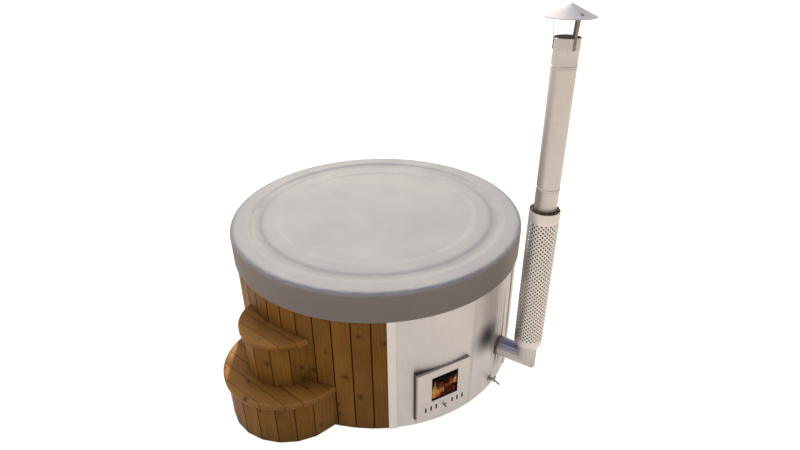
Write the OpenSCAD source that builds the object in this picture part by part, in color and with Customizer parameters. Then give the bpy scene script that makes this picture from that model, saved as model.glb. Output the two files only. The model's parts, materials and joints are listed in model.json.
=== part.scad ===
// Round wooden hot tub with a built-in wood stove, a moulded lift-off lid,
// a guarded flue beside the wall and a two-tier half-round step.
// Millimetres, +Z up. The origin is on the ground under the tub's centre.
// The stove door faces -Y. Angles are counter-clockwise from +X, seen from above.

/* [Wall] */
// Distance from the tub's axis to the outer face of a wall board
wall_r = 985; // [950:5:1040]
// Height of the boards' upper ends above the ground
wall_top = 1000; // [960:10:1100]
// Gap between the ground and the lower ends of boards and cladding
ground_gap = 6; // [3:1:12]
// Thickness of a wall board
board_t = 20; // [18:1:24]
// Number of board widths round the whole tub
board_count = 53; // [48:1:58]
// Open joint between neighbouring boards
board_gap = 1; // [0.6:0.2:1.6]
// Chamfer that makes the V-groove at each joint
board_chamfer = 4; // [2:0.5:5]
// Thickness of the tongue on each board
tongue_t = 6; // [4:0.5:7]
// Length of the tongue beyond the board's edge
tongue_l = 5; // [3:0.5:6]

/* [Metal section] */
// Number of board widths that the metal cladding takes
metal_boards = 9; // [9:1:11]
// Direction of the middle of the metal cladding
metal_mid = -82; // [-84:0.5:-81]
// Thickness of the cladding sheet
sheet_t = 1.5; // [1:0.25:2]
// Width of the folded trim over each vertical joint
trim_w = 51; // [44:1:60]
// How far the trim stands proud of the wall
trim_proud = 8; // [6:0.5:9]
// Height of the rails behind the cladding's upper and lower edges
rail_h = 60; // [40:5:80]

/* [Base] */
// Height of the joists that the tub stands on
joist_h = 30; // [24:2:34]
// Width of a joist
joist_w = 95; // [70:5:120]
// Number of joists
joist_count = 5; // [4:1:7]
// Thickness of the round floor board
base_t = 18; // [12:1:20]

/* [Frame and insulation] */
// Thickness of a bent plywood hoop
hoop_t = 16; // [12:1:20]
// Height of a hoop
hoop_h = 60; // [40:5:80]
// Radial depth of a wall stud
stud_d = 32; // [24:2:40]
// Width of a wall stud
stud_w = 45; // [35:5:55]
// Number of wall studs
stud_count = 10; // [8:1:14]
// Thickness of the foam round the basin
foam_t = 37; // [25:1:45]

/* [Basin] */
// Wall thickness of the moulded basin
basin_t = 6; // [4:0.5:8]
// Gap between the water jacket's back and the basin's flat wall
basin_gap = 44; // [32:1:60]
// Width of the bench between the basin's round wall and the foot well
bench_w = 351; // [320:1:390]
// Height of the foot well's floor
foot_floor = 118; // [112:1:130]
// Height of the bench
bench_top = 450; // [420:5:470]
// Thickness of the rim that covers the wall's top
rim_t = 8; // [6:0.5:10]
// Number of ribs under the bench
rib_count = 7; // [5:1:9]
// Thickness of a bench rib
rib_t = 18; // [12:1:24]

/* [Lid] */
// How far the lid's edge stands outside the wall
lid_over = 15; // [14:0.5:20]
// Height of the lid's raised rim above the tub's rim
lid_rise = 51; // [46:1:65]
// Height of the lid's outer edge from the skirt's lower end to the top
lid_edge_h = 200; // [140:5:240]
// Wall thickness of the lid's moulded skin
lid_skin = 5; // [3:0.5:6]
// Radius of the lid's rounded outer edge
lid_round = 28; // [20:1:34]
// Draft of the lid's skirt, the lower end being narrower by this much
lid_draft = 2; // [0:0.5:2]
// Thickness of the lid's lower liner
liner_t = 3; // [2:0.5:5]

/* [Stove] */
// Distance of the door's middle from the tub's axis, along X
door_x = -60; // [-70:2:-50]
// Width of the door
door_w = 382; // [380:1:400]
// Height of the door
door_h = 383; // [366:1:396]
// Height of the door's lower edge above the ground
door_low = 60; // [58:1:66]
// How far the door's face stands outside the wall
door_proud = 15; // [14:0.5:20]
// Depth of the door's folded pan
door_d = 20; // [19:0.5:21]
// Sheet thickness of the door and its collar
door_t = 3; // [2:0.5:3]
// Setback of the stove's front plate behind the wall's face
stove_setback = 97; // [90:1:110]
// Length of the stove from its front plate to its back
stove_l = 394; // [380:2:398]
// Half-width of the water jacket
jacket_hw = 206; // [202:1:210]
// Height of the water jacket
jacket_h = 454; // [440:2:480]
// Plate thickness of firebox and jacket
plate_t = 4; // [3:0.5:5]
// Half-width of the firebox inside
fire_hw = 160; // [150:1:164]
// Depth of the water under the firebox
water_under = 11; // [8:1:16]
// Depth of the water over the firebox
water_over = 67; // [50:1:90]
// Height of the grate's upper face above the ground
grate_z = 162; // [150:1:170]
// Radius of a firewood log
log_r = 38; // [30:1:42]

/* [Window and air slots] */
// Distance of the window's middle from the door's middle
window_dx = 7; // [5:0.5:8]
// Width of the window
window_w = 193; // [170:1:200]
// Distance from the window's upper edge to the door's
window_over = 55.5; // [52:0.5:70]
// Distance from the window's lower edge to the door's
window_under = 136.5; // [135:0.5:150]
// Thickness of the window glass
glass_t = 4; // [3:0.5:4]
// Width of an air slot
slot_w = 12; // [8:1:13]
// Height of an air slot
slot_h = 40; // [30:1:42]
// Distance from half the door's width to the middle of the outermost air slot
slot_edge = 54; // [53:0.5:60]
// Distance from the window's middle line to the nearest air slot
slot_first = 60; // [56:0.5:61]
// Height of the air slots' middle above the door's lower edge
slot_up = 80; // [77:1:81]
// Travel of the air slide
air_travel = 16; // [14:0.5:17]
// Radius of the air slide's knob
knob_r = 5.5; // [4.5:0.5:7]
// How far the knob stands out of the door
knob_l = 22; // [16:1:28]

/* [Door hinge] */
// Radius of a hinge knuckle
knuckle_r = 5.8; // [5:0.1:6]
// Radius of a hinge pin
pin_r = 2.5; // [2:0.1:3]
// Height of one knuckle
knuckle_h = 20; // [15:1:25]
// Distance of each hinge from the door's upper or lower edge
hinge_inset = 45; // [30:5:70]

/* [Flue] */
// Direction in which the flue leaves the tub
flue_az = -62.3; // [-64:0.1:-61]
// Distance from the wall's face to the vertical flue's axis
flue_reach = 201.5; // [190:0.5:230]
// Height of the horizontal flue's axis
flue_z = 308; // [300:1:320]
// Outer radius of the flue pipe
flue_r = 64.5; // [60:0.5:66]
// Wall thickness of the flue pipe
flue_t = 1.2; // [1:0.1:1.5]
// Distance of the first flue joint from the wall's face
stub_out = 25; // [20:1:40]
// Height of the elbow's upper end above the horizontal flue's axis
elbow_leg = 132; // [120:1:170]
// Length of the lower flue pipe
lower_l = 1082; // [1000:1:1200]
// Length of the upper flue pipe
upper_l = 666; // [500:1:1000]
// Length of the adapter that shows under the cap's collar
adapter_l = 90; // [60:1:150]
// Height of the cap's collar
collar_h = 59; // [45:1:80]
// Length of the spigot at a pipe's lower end
spigot_l = 40; // [25:1:50]

/* [Heat guard] */
// Outer radius of the guard round the flue
guard_r = 88; // [80:1:95]
// Sheet thickness of the guard
guard_t = 1.5; // [1:0.25:2]
// Height of the guard's lower end above the horizontal flue's axis
guard_up = 92; // [92:1:110]
// Length of the guard
guard_l = 995; // [800:1:1100]
// Height of the cone that closes the guard's lower end
guard_cone_h = 38; // [30:1:50]

/* [Rain cap] */
// Radius of the cap's cone
cap_r = 127; // [115:1:140]
// Height of the cone's rim above the flue's open end
cap_gap = 95; // [70:1:130]
// Height of the cone
cap_h = 61; // [50:1:75]
// Width of a cap strap
strap_w = 15; // [10:1:20]
// Thickness of a cap strap
strap_t = 2; // [1:0.25:3]
// How far a cap strap leans out between the pipe and the cone
strap_flare = 12; // [0:1:16]

/* [Drain] */
// Direction in which the drain leaves the tub
drain_az = -67.45; // [-69:0.05:-67]
// Height of the drain pipe's axis
drain_z = 70; // [68:0.5:74]
// Outer radius of the drain pipe
drain_r = 16; // [14:0.5:17]
// Wall thickness of the drain pipe
drain_t = 3; // [2:0.5:3.5]
// Distance of the drain's floor hole from the basin's flat wall
drain_in = 70; // [50:1:110]
// Radius of the tap's body
tap_r = 10.5; // [9:0.5:12]
// How far the tap's body stands out of the wall
tap_l = 45; // [40:1:60]
// Outer radius of the tap's spout
spout_r = 6; // [5:0.5:8]
// Length of the straight hose end of the spout
spout_l = 18; // [15:1:30]
// Length of the tap's butterfly handle
handle_l = 44; // [30:1:54]

/* [Steps] */
// Direction of the steps' middle
step_az = -158.3; // [-162:0.1:-156]
// How far the half-rounds' centre lies inside the wall's face
step_inset = 97; // [92:1:110]
// Radius of the lower step's fascia over its board corners
low_r = 404; // [400:1:440]
// Height of the lower tread's upper face
low_top = 340; // [300:2:350]
// Radius of the upper step's fascia over its board corners
up_r = 266; // [250:1:280]
// Height of the upper tread's upper face
up_top = 674; // [620:2:690]
// Thickness of a tread
tread_t = 38; // [30:1:42]
// Radius of the tread's rounded edge
tread_round = 14; // [8:1:16]
// Overhang of the tread beyond the fascia
nosing = 19; // [10:1:22]
// Width of a tread board
tread_board = 86; // [80:0.5:95]
// Distance from the half-rounds' centre to the first tread joint
tread_first = 127; // [120:1:131]
// Open joint between tread boards
tread_gap = 2.5; // [1.5:0.5:4]
// Thickness of a fascia board
fascia_t = 18; // [15:1:22]
// Side of a square step post
post_w = 45; // [35:1:50]

/* [Hidden] */
$fn = 96;
big_fn = 360;          // facets of the large rounds, seen only in a mesh
fit = 0.3;             // running or seating gap between two pieces
cut = 2;               // how far a cutting body runs past a face
far = 4000;            // longer than the whole tub
weld = 1;              // how far pieces of one solid reach into each other

// wall
pitch = 360 / board_count;
metal_span = metal_boards * pitch;
metal_right = metal_mid + metal_span / 2;
metal_left = metal_mid - metal_span / 2;
wood_boards = board_count - metal_boards;
tongue_mid = wall_r - board_t / 2 - 1;
groove_play = 1.1;
groove_extra = 0.6;
wall_corner_r = wall_r / cos(pitch / 2);
wall_clear_r = wall_corner_r + fit;
sheet_ri = wall_r - sheet_t;
trim_top = wall_top + rim_t + lid_rise - lid_edge_h - fit * 13;

// layers inside the wall, from the boards inwards
hoop_ro = wall_r - board_t - fit;
hoop_ri = hoop_ro - hoop_t;
stud_x1 = hoop_ri - 4 * fit;
stud_x0 = stud_x1 - stud_d;
foam_ro = stud_x0 - 3 * fit;
foam_ri = foam_ro - foam_t;
basin_ro = foam_ri - fit;
basin_ri = basin_ro - basin_t;
foot_r = basin_ri - bench_w;
bench_under = bench_top - basin_t;
base_top = joist_h + base_t;
rim_top = wall_top + rim_t;

// lid
lid_r = wall_r + lid_over;
lid_top = rim_top + lid_rise;
lid_low = lid_top - lid_edge_h;
liner_z = rim_top + fit;
// height of the lid's face below its rim, at distances inwards from its edge
lid_form = [[40, 0], [112, 0], [160, -12], [185, -12], [230, -4], [300, -4],
            [345, -9], [400, -9], [lid_r, -6]];
lid_step = 12;

// stove
front_y = -(wall_r + door_proud);
door_back = front_y + door_d;
collar_front = door_back + fit;
plate_y = -(wall_r - stove_setback);
mouth_y = plate_y + plate_t;
jacket_back = mouth_y + stove_l;
basin_flat_out = -jacket_back - basin_gap;
basin_flat = basin_flat_out - basin_t;
hearth_t = 8 - fit;
jacket_z0 = base_top + hearth_t + fit;
jacket_z1 = jacket_z0 + jacket_h;
fire_z0 = jacket_z0 + 2 * plate_t + water_under;
fire_z1 = jacket_z1 - 2 * plate_t - water_over;
fire_back = jacket_back - 40;
door_z1 = door_low + door_h;
door_z = door_low + door_h / 2;
door_left = door_x - door_w / 2;
door_right = door_x + door_w / 2;
lip_w = 18;
window_x = door_x + window_dx;
window_h = door_h - window_over - window_under;
window_z = door_low + window_under + window_h / 2;
slot_z = door_low + slot_up;
slot_pitch = (door_w / 2 - slot_edge - slot_first) / 2;
grate_t = 12;
ledge_w = 12;

// pieces behind the door's face, as distances back from it
skin_y = front_y + door_t;
seal_w = 11;
seal_in = door_w / 2 - door_t - fit;
seal_in_z = door_h / 2 - door_t - fit;
channel_w = 12.4;
channel_y = skin_y + 6.8;
glass_lap = 12;
glass_y = skin_y + fit;
clip_y = glass_y + glass_t + fit;
clip_t = 2;
slide_t = 2;
slide_y = skin_y + fit;
slide_margin = 8;
slide_hz = slot_h / 2 + slide_margin;
slide_x0 = window_x - slot_first - 2 * slot_pitch - slot_w / 2 - air_travel - 4;
slide_x1 = window_x + slot_first + 2 * slot_pitch + slot_w / 2 + 6;
liner_hw = seal_in - channel_w - fit;
liner_hz = seal_in_z - channel_w - fit;
door_liner_t = 1.5;
door_liner_y = skin_y + 10;
slot_offsets = [for (side = [-1, 1], k = [0:2]) side * (slot_first + k * slot_pitch)];
stem_r = 3;

// hinge
hinge_x = door_right + knuckle_r + 0.5;
hinge_y = door_back - 3;
hinge_zs = [door_low + hinge_inset, door_z1 - hinge_inset - 2 * knuckle_h];
pin_play = 0.05;

// catch
catch_z = door_z;
catch_h = 36;
striker_x = door_left + 22;
roller_r = 5;

// smoke box, an upright prism whose outer face is square to the flue
smoke_in = 245;
smoke_rho = wall_r - smoke_in;
smoke_hw = 90;
smoke_hh = 98;
smoke_t = 3;
smoke_front = 250;
smoke_rear = 10;
smoke_reach = 184;
neck_front = 210;
neck_rear = 70;
neck_y = [jacket_back - neck_front, jacket_back - neck_rear];
neck_hh = 68;
jacket_right = door_x + jacket_hw;
smoke_mid = smoke_rho * [cos(flue_az), sin(flue_az)];
smoke_dir = [-sin(flue_az), cos(flue_az)];
smoke_plan = [[jacket_right + fit, jacket_back - smoke_front],
              smoke_mid - smoke_hw * smoke_dir,
              smoke_mid + smoke_hw * smoke_dir,
              [jacket_right + smoke_reach, jacket_back - smoke_rear],
              [jacket_right + fit, jacket_back - smoke_rear]];

// flue
flue_ri = flue_r - flue_t;
elbow_top = flue_z + elbow_leg;
joint_mid = elbow_top + lower_l;
joint_top = joint_mid + upper_l;
collar_low = joint_top + adapter_l;
flue_top = collar_low + collar_h;
cap_low = flue_top + cap_gap;
guard_low = flue_z + guard_up;
guard_top = guard_low + guard_l;
flue_rho = wall_r + flue_reach;
stub_end = wall_r + stub_out;
spigot_ro = flue_ri - fit;
spigot_ri = spigot_ro - flue_t;
gland_r = flue_r + 7.5;
strap_azs = [-101, 19, 139];
cap_sheet = 1.2;
cap_slope = cap_h / cap_r;

// water pipes between the jacket and the basin
flow_r = 25;
flow_t = 3;
nut_r = 36;
flow_zs = [foot_floor + nut_r + 26, bench_under - nut_r - 3];
nut_t = 10;
grille_t = 4;

// drain and tap
drain_rho = -(basin_flat - drain_in) / sin(drain_az);
spout_bend_r = 35;
spout_angle = 30;
tap_end = wall_r + tap_l;
tap_axis = tap_end - 9;
boss_r = 9;
boss_top = drain_z + 14;

// steps
step_rho = wall_r - step_inset;
low_lines = [-90, -62.85, -46.5, -30.15, -13.8, 2.55, 18.9, 35.25, 51.6, 67.95, 90];
up_lines = [-77, -47.25, -22.05, 3.15, 28.35, 53.55, 77.5];
rib_w = 48;
step_rib_t = 18;
fascia_gap = 1;
fascia_chamfer = 3;

// ---------- helpers ----------

// A box given by its limits
module limits(x0, x1, y0, y1, z0, z1)
    translate([x0, y0, z0]) cube([x1 - x0, y1 - y0, z1 - z0]);

// A frame in an XZ plane: a plate with a rectangular hole
module frame_xz(mid_x, mid_z, hx, hz, w, y0, y1)
    difference() {
        limits(mid_x - hx, mid_x + hx, y0, y1, mid_z - hz, mid_z + hz);
        limits(mid_x - hx + w, mid_x + hx - w, y0 - cut, y1 + cut, mid_z - hz + w, mid_z + hz - w);
    }

// An upright wedge from angle a0 to a1, at most 170 degrees wide
module wedge(a0, a1, z0, z1)
    translate([0, 0, z0])
        linear_extrude(z1 - z0)
            polygon([[0, 0], far * [cos(a0), sin(a0)],
                     far * 1.5 * [cos((a0 + a1) / 2), sin((a0 + a1) / 2)], far * [cos(a1), sin(a1)]]);

// A full upright ring
module ring(ro, ri, z0, z1)
    translate([0, 0, z0])
        difference() {
            cylinder(h = z1 - z0, r = ro, $fn = big_fn);
            translate([0, 0, -cut]) cylinder(h = z1 - z0 + 2 * cut, r = ri, $fn = big_fn);
        }

// The stretch of a ring from angle a0 to a1, at most 170 degrees wide
module band(ro, ri, a0, a1, z0, z1)
    intersection() {
        ring(ro, ri, z0, z1);
        wedge(a0, a1, z0 - cut, z1 + cut);
    }

// What is left of a ring when the metal section's stretch is taken out
module wood_side_band(ro, ri, z0, z1)
    difference() {
        ring(ro, ri, z0, z1);
        wedge(metal_left, metal_right, z0 - cut, z1 + cut);
    }

// A round cut straight along the basin's flat wall
module basin_round(r, z0, z1, flat)
    intersection() {
        translate([0, 0, z0]) cylinder(h = z1 - z0, r = r, $fn = big_fn);
        limits(-far, far, -flat, far, z0 - cut, z1 + cut);
    }

// A rod along +X, from x0 to x1
module rod_x(r, x0, x1, z = 0)
    translate([x0, 0, z]) rotate([0, 90, 0]) cylinder(h = x1 - x0, r = r);

// A rod along +Y, from y0 to y1
module rod_y(r, x, y0, y1, z)
    translate([x, y0, z]) rotate([-90, 0, 0]) cylinder(h = y1 - y0, r = r);

// A tube along +Y, from y0 to y1
module tube_y(ro, ri, x, y0, y1, z)
    difference() {
        rod_y(ro, x, y0, y1, z);
        rod_y(ri, x, y0 - cut, y1 + cut, z);
    }

module at_flue() rotate([0, 0, flue_az]) children();
module at_drain() rotate([0, 0, drain_az]) children();
module at_steps() rotate([0, 0, step_az]) translate([step_rho, 0, 0]) children();

// ---------- base, frame and insulation ----------

module base_joists() {
    reach = hoop_ro - 14;
    spacing = 1.6 * reach / (joist_count - 1);
    color("peru")
        for (i = [0:joist_count - 1]) {
            y = (i - (joist_count - 1) / 2) * spacing;
            half = sqrt(reach * reach - pow(abs(y) + joist_w / 2, 2));
            limits(-half, half, y - joist_w / 2, y + joist_w / 2, 0, joist_h);
        }
}

module base_board()
    color("burlywood")
        translate([0, 0, joist_h]) cylinder(h = base_t, r = hoop_ro, $fn = big_fn);

module floor_foam()
    color("lightyellow")
        difference() {
            basin_round(foot_r - basin_t, base_top + fit, foot_floor - basin_t - fit, basin_flat);
            at_drain() limits(drain_rho - drain_r - 8, far, -drain_r - 8, drain_r + 8, 0, foot_floor);
        }

// Studs stand round the wooden part, the first and last just beside the metal section
module wall_studs() {
    from = metal_right + 4;
    to = metal_left + 360 - 4;
    color("peru")
        for (i = [0:stud_count - 1])
            rotate([0, 0, from + (to - from) * i / (stud_count - 1)])
                limits(stud_x0, stud_x1, -stud_w / 2, stud_w / 2, base_top, wall_top - fit);
}

module wall_hoops() {
    middle = (base_top + wall_top) / 2;
    color("burlywood") {
        wood_side_band(hoop_ro, hoop_ri, base_top, base_top + hoop_h);
        wood_side_band(hoop_ro, hoop_ri, middle - hoop_h / 2, middle + hoop_h / 2);
        ring(hoop_ro, hoop_ri, wall_top - hoop_h, wall_top - fit);
    }
}

module wall_foam()
    color("lightyellow")
        intersection() {
            ring(foam_ro, foam_ri, base_top + fit, wall_top - hoop_h);
            limits(-far, far, -basin_flat, far, 0, far);
        }

// ---------- basin ----------

module basin_holes() {
    for (z = flow_zs)
        rod_y(flow_r + fit, door_x, -basin_flat_out - cut, -basin_flat + cut, z);
    at_drain()
        translate([drain_rho, 0, foot_floor - basin_t - cut])
            cylinder(h = basin_t + 2 * cut, r = drain_r + fit);
}

// The upper part: a round with a flat wall in front of the stove, a rim and a bench
module basin()
    color("whitesmoke")
        difference() {
            union() {
                basin_round(basin_ro, bench_under, wall_top + rim_t / 2, basin_flat_out);
                translate([0, 0, wall_top]) cylinder(h = rim_t, r = wall_r - fit, $fn = big_fn);
            }
            basin_round(basin_ri, bench_top, rim_top + cut, basin_flat);
            basin_round(foot_r, bench_under - cut, bench_top + cut, basin_flat);
        }

// The foot well, welded to the underside of the bench and of the flat wall
module basin_well()
    color("gainsboro")
        difference() {
            basin_round(foot_r + basin_t, foot_floor - basin_t, bench_under, basin_flat_out);
            basin_round(foot_r, foot_floor, bench_under + cut, basin_flat);
            basin_holes();
        }

// Upright ribs that carry the bench, fanned round the foot well
module bench_ribs()
    color("burlywood")
        for (i = [0:rib_count - 1])
            rotate([0, 0, -20 + 220 * i / (rib_count - 1)])
                limits(foot_r + basin_t + fit, basin_ro - fit, -rib_t / 2, rib_t / 2,
                       base_top, bench_under - fit);

// ---------- wooden wall ----------

function board_side(x) = x * tan(pitch / 2) - board_gap / 2;

// One flat board in its own direction, tongue on its +Y edge and groove on its -Y edge
module wall_board() {
    x0 = wall_r - board_t;
    xc = wall_r - board_chamfer;
    g0 = tongue_mid - tongue_t / 2 - groove_play;
    g1 = tongue_mid + tongue_t / 2 + groove_play;
    t0 = tongue_mid - tongue_t / 2;
    t1 = tongue_mid + tongue_t / 2;
    deep = tongue_l + groove_extra;
    translate([0, 0, ground_gap])
        linear_extrude(wall_top - fit - ground_gap)
            polygon([[x0, -board_side(x0)],
                     [g0, -board_side(g0)], [g0, -board_side(g0) + deep],
                     [g1, -board_side(g1) + deep], [g1, -board_side(g1)],
                     [xc, -board_side(xc)], [wall_r, -board_side(wall_r) + board_chamfer],
                     [wall_r, board_side(wall_r) - board_chamfer], [xc, board_side(xc)],
                     [t1, board_side(t1)], [t1, board_side(t1) + tongue_l],
                     [t0, board_side(t0) + tongue_l], [t0, board_side(t0)],
                     [x0, board_side(x0)]]);
}

module wall_boards()
    color("saddlebrown")
        for (i = [0:wood_boards - 1])
            rotate([0, 0, metal_right + (i + 0.5) * pitch]) wall_board();

// ---------- metal section ----------

// Two curved rails and two upright battens that the cladding is screwed to
module cladding_frame() {
    a0 = metal_left + 0.7;
    a1 = metal_right - 0.7;
    batten = 2.4;
    ri = hoop_ro + fit;
    ro = sheet_ri - fit;
    color("peru") {
        band(ro, ri, a0, a1, ground_gap, base_top);
        band(ro, ri, a0, a1, wall_top - rail_h, wall_top - fit);
        for (a = [[a0, a0 + batten], [a1 - batten, a1]])
            band(ro, ri, a[0], a[1], base_top + fit, wall_top - rail_h - fit);
    }
}

module stove_cladding()
    color("gainsboro")
        difference() {
            band(wall_r, sheet_ri, metal_left + 0.2, metal_right - 0.2, ground_gap, wall_top - fit);
            limits(door_left - 5 * fit, door_right + 5 * fit, -far, 0,
                   door_low - 5 * fit, door_z1 + 5 * fit);
            at_flue() rod_x(gland_r + fit, wall_r - gland_r, wall_r + gland_r, flue_z);
            at_drain() rod_x(drain_r + 5 * fit, wall_r - tap_l, wall_r + tap_l, drain_z);
        }

// A folded strip over each vertical joint between wood and metal
module cladding_trim(mid, metal_side) {
    ro = wall_r + trim_proud;
    half = trim_w / ro * 90 / PI;
    leg = sheet_t / ro * 180 / PI;
    wood_r = wall_corner_r + 2 * fit;
    metal_r = wall_r + fit;
    band(ro, ro - sheet_t, mid - half, mid + half, ground_gap, trim_top);
    band(ro, metal_side > 0 ? wood_r : metal_r, mid - half, mid - half + leg, ground_gap, trim_top);
    band(ro, metal_side > 0 ? metal_r : wood_r, mid + half - leg, mid + half, ground_gap, trim_top);
}

module cladding_trims()
    color("silver") {
        cladding_trim(metal_left, 1);
        cladding_trim(metal_right, -1);
    }

// ---------- stove ----------

module hearth_board()
    color("lightgrey")
        limits(door_x - jacket_hw, door_x + jacket_hw, mouth_y, jacket_back,
               base_top + fit, base_top + fit + hearth_t - fit);

module neck_hole(extra)
    limits(door_x, jacket_right + cut, neck_y[0] - extra, neck_y[1] + extra,
           flue_z - neck_hh - extra, flue_z + neck_hh + extra);

// A box open at the front, which holds the water round the fire
module water_jacket()
    color("slategrey")
        difference() {
            limits(door_x - jacket_hw, jacket_right, mouth_y, jacket_back, jacket_z0, jacket_z1);
            limits(door_x - jacket_hw + plate_t, jacket_right - plate_t, mouth_y - cut,
                   jacket_back - plate_t, jacket_z0 + plate_t, jacket_z1 - plate_t);
            neck_hole(fit);
            for (z = flow_zs)
                rod_y(flow_r + fit, door_x, jacket_back - plate_t - cut, jacket_back + cut, z);
        }

// The fire's own box, with a ledge along each side for the grate
module firebox() {
    x0 = door_x - fire_hw;
    x1 = door_x + fire_hw;
    ledge_top = grate_z - grate_t;
    color("dimgrey") {
        difference() {
            limits(x0 - plate_t, x1 + plate_t, mouth_y, fire_back, fire_z0 - plate_t, fire_z1 + plate_t);
            limits(x0, x1, mouth_y - cut, fire_back - plate_t, fire_z0, fire_z1);
            neck_hole(-smoke_t);
        }
        for (x = [x0 - weld, x1 - ledge_w])
            limits(x, x + ledge_w + weld, mouth_y + 20, fire_back - plate_t - 20,
                   ledge_top - plate_t, ledge_top);
    }
}

// The plate that joins firebox, jacket and door collar
module stove_front_plate()
    color("slategrey")
        difference() {
            limits(door_x - jacket_hw, jacket_right, plate_y, mouth_y, jacket_z0, jacket_z1);
            limits(door_x - fire_hw, door_x + fire_hw, plate_y - cut, mouth_y + cut, fire_z0, fire_z1);
        }

module fire_grate() {
    hw = fire_hw - 2;
    y0 = mouth_y + 22;
    y1 = fire_back - plate_t - 22;
    bar_pitch = 26;
    gap_w = 12;
    gaps = floor((2 * hw - 40) / bar_pitch);
    color("darkslategrey")
        difference() {
            limits(door_x - hw, door_x + hw, y0, y1, grate_z - grate_t, grate_z);
            for (i = [0:gaps - 1]) {
                x = door_x + (i - (gaps - 1) / 2) * bar_pitch;
                limits(x - gap_w / 2, x + gap_w / 2, y0 + 18, y1 - 18, grate_z - grate_t - cut, grate_z + cut);
            }
        }
}

// Three logs: two side by side on the grate and one across their hollow
module firewood() {
    log_l = 2 * fire_hw - 50;
    lying = grate_z + log_r + fit;
    apart = 2 * log_r + 6;
    front = mouth_y + log_r + 20;
    color("sienna") {
        for (i = [0, 1])
            translate([door_x - log_l / 2, front + i * apart, lying])
                rotate([0, 90, 0]) cylinder(h = log_l, r = log_r);
        translate([door_x - log_l / 2 + 10, front + apart / 2,
                   lying + sqrt(4 * log_r * log_r - apart * apart / 4) + fit])
            rotate([0, 90, 0]) cylinder(h = log_l - 20, r = log_r);
    }
}

// Moves each side of a convex outline inwards by d
function side_in(p, i, d) =
    let (a = p[i], b = p[(i + 1) % len(p)], v = (b - a) / norm(b - a), n = [-v[1], v[0]])
    [a + d * n, v];
function meet(l, m) =
    let (w = m[0] - l[0], k = l[1][0] * m[1][1] - l[1][1] * m[1][0])
    l[0] + l[1] * (w[0] * m[1][1] - w[1] * m[1][0]) / k;
function inset(p, d) =
    [for (i = [0:len(p) - 1]) meet(side_in(p, (i + len(p) - 1) % len(p), d), side_in(p, i, d))];

// Gathers the smoke beside the jacket and turns it towards the flue
module smoke_box()
    color("slategrey")
        difference() {
            union() {
                translate([0, 0, flue_z - smoke_hh]) linear_extrude(2 * smoke_hh) polygon(smoke_plan);
                limits(door_x + fire_hw + plate_t, jacket_right + cut, neck_y[0], neck_y[1],
                       flue_z - neck_hh, flue_z + neck_hh);
            }
            translate([0, 0, flue_z - smoke_hh + smoke_t])
                linear_extrude(2 * (smoke_hh - smoke_t)) polygon(inset(smoke_plan, smoke_t));
            limits(door_x, jacket_right + 2 * smoke_t, neck_y[0] + smoke_t, neck_y[1] - smoke_t,
                   flue_z - neck_hh + smoke_t, flue_z + neck_hh - smoke_t);
            at_flue() rod_x(flue_ri, smoke_rho - 2 * smoke_t, smoke_rho + cut, flue_z);
        }

// ---------- water pipes ----------

// Two pipes, each with a nut on either side of the basin's flat wall
module water_pipes()
    color("silver")
        for (z = flow_zs) {
            tube_y(flow_r, flow_r - flow_t, door_x, jacket_back - plate_t, -basin_flat + nut_t + fit, z);
            tube_y(nut_r, flow_r + fit, door_x, -basin_flat_out - nut_t - fit, -basin_flat_out - fit, z);
            tube_y(nut_r, flow_r + fit, door_x, -basin_flat + fit, -basin_flat + nut_t, z);
        }

module pipe_grilles() {
    y0 = -basin_flat + nut_t + 2 * fit;
    hole_r = 4;
    color("silver")
        for (z = flow_zs)
            difference() {
                rod_y(nut_r, door_x, y0, y0 + grille_t, z);
                for (ring_i = [0:2], k = [0:max(0, 6 * ring_i - 1)]) {
                    a = ring_i == 0 ? 0 : 60 * k / ring_i;
                    rod_y(hole_r, door_x + 11 * ring_i * cos(a), y0 - cut, y0 + grille_t + cut,
                          z + 11 * ring_i * sin(a));
                }
            }
}

// ---------- door collar, hinge and catch ----------

// A box frame through the cladding, with a lip for the seal and the fixed knuckles
module door_collar()
    color("silver") {
        frame_xz(door_x, door_z, door_w / 2, door_h / 2, door_t, collar_front, plate_y);
        frame_xz(door_x, door_z, door_w / 2, door_h / 2, lip_w, collar_front, collar_front + door_t);
        for (z = hinge_zs)
            difference() {
                union() {
                    translate([hinge_x, hinge_y, z]) cylinder(h = knuckle_h, r = knuckle_r);
                    limits(door_right - weld, hinge_x, collar_front, hinge_y + knuckle_r - 0.2,
                           z, z + knuckle_h);
                }
                translate([hinge_x, hinge_y, z - cut])
                    cylinder(h = knuckle_h + 2 * cut, r = pin_r + pin_play);
            }
    }

module hinge_pins()
    color("dimgrey")
        for (z = hinge_zs)
            translate([hinge_x, hinge_y, z]) {
                translate([0, 0, -2]) cylinder(h = 2 * knuckle_h + 2 + 2 * fit, r = pin_r);
                translate([0, 0, 2 * knuckle_h + 2 * fit]) cylinder(h = 3, r = knuckle_r - 1.3);
            }

// A bracket on the collar's left side with an upright roller that holds the door shut
module door_catch() {
    x0 = door_left + door_t;
    y0 = collar_front + door_t + 8;
    color("dimgrey") {
        for (z = [catch_z - 16, catch_z + 12])
            limits(x0, x0 + 12, y0, y0 + 24, z, z + 4);
        limits(x0, x0 + 3, y0, y0 + 24, catch_z - 16, catch_z + 16);
        translate([x0 + 11, y0 + 12, catch_z - 12]) cylinder(h = 24, r = roller_r);
    }
}

// ---------- door ----------

module air_slot(x)
    for (end = [-1, 1])
        union() {
            rod_y(slot_w / 2, x, front_y - cut, front_y + 20, slot_z + end * (slot_h - slot_w) / 2);
            limits(x - slot_w / 2, x + slot_w / 2, front_y - cut, front_y + 20,
                   slot_z - (slot_h - slot_w) / 2, slot_z + (slot_h - slot_w) / 2);
        }

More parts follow.
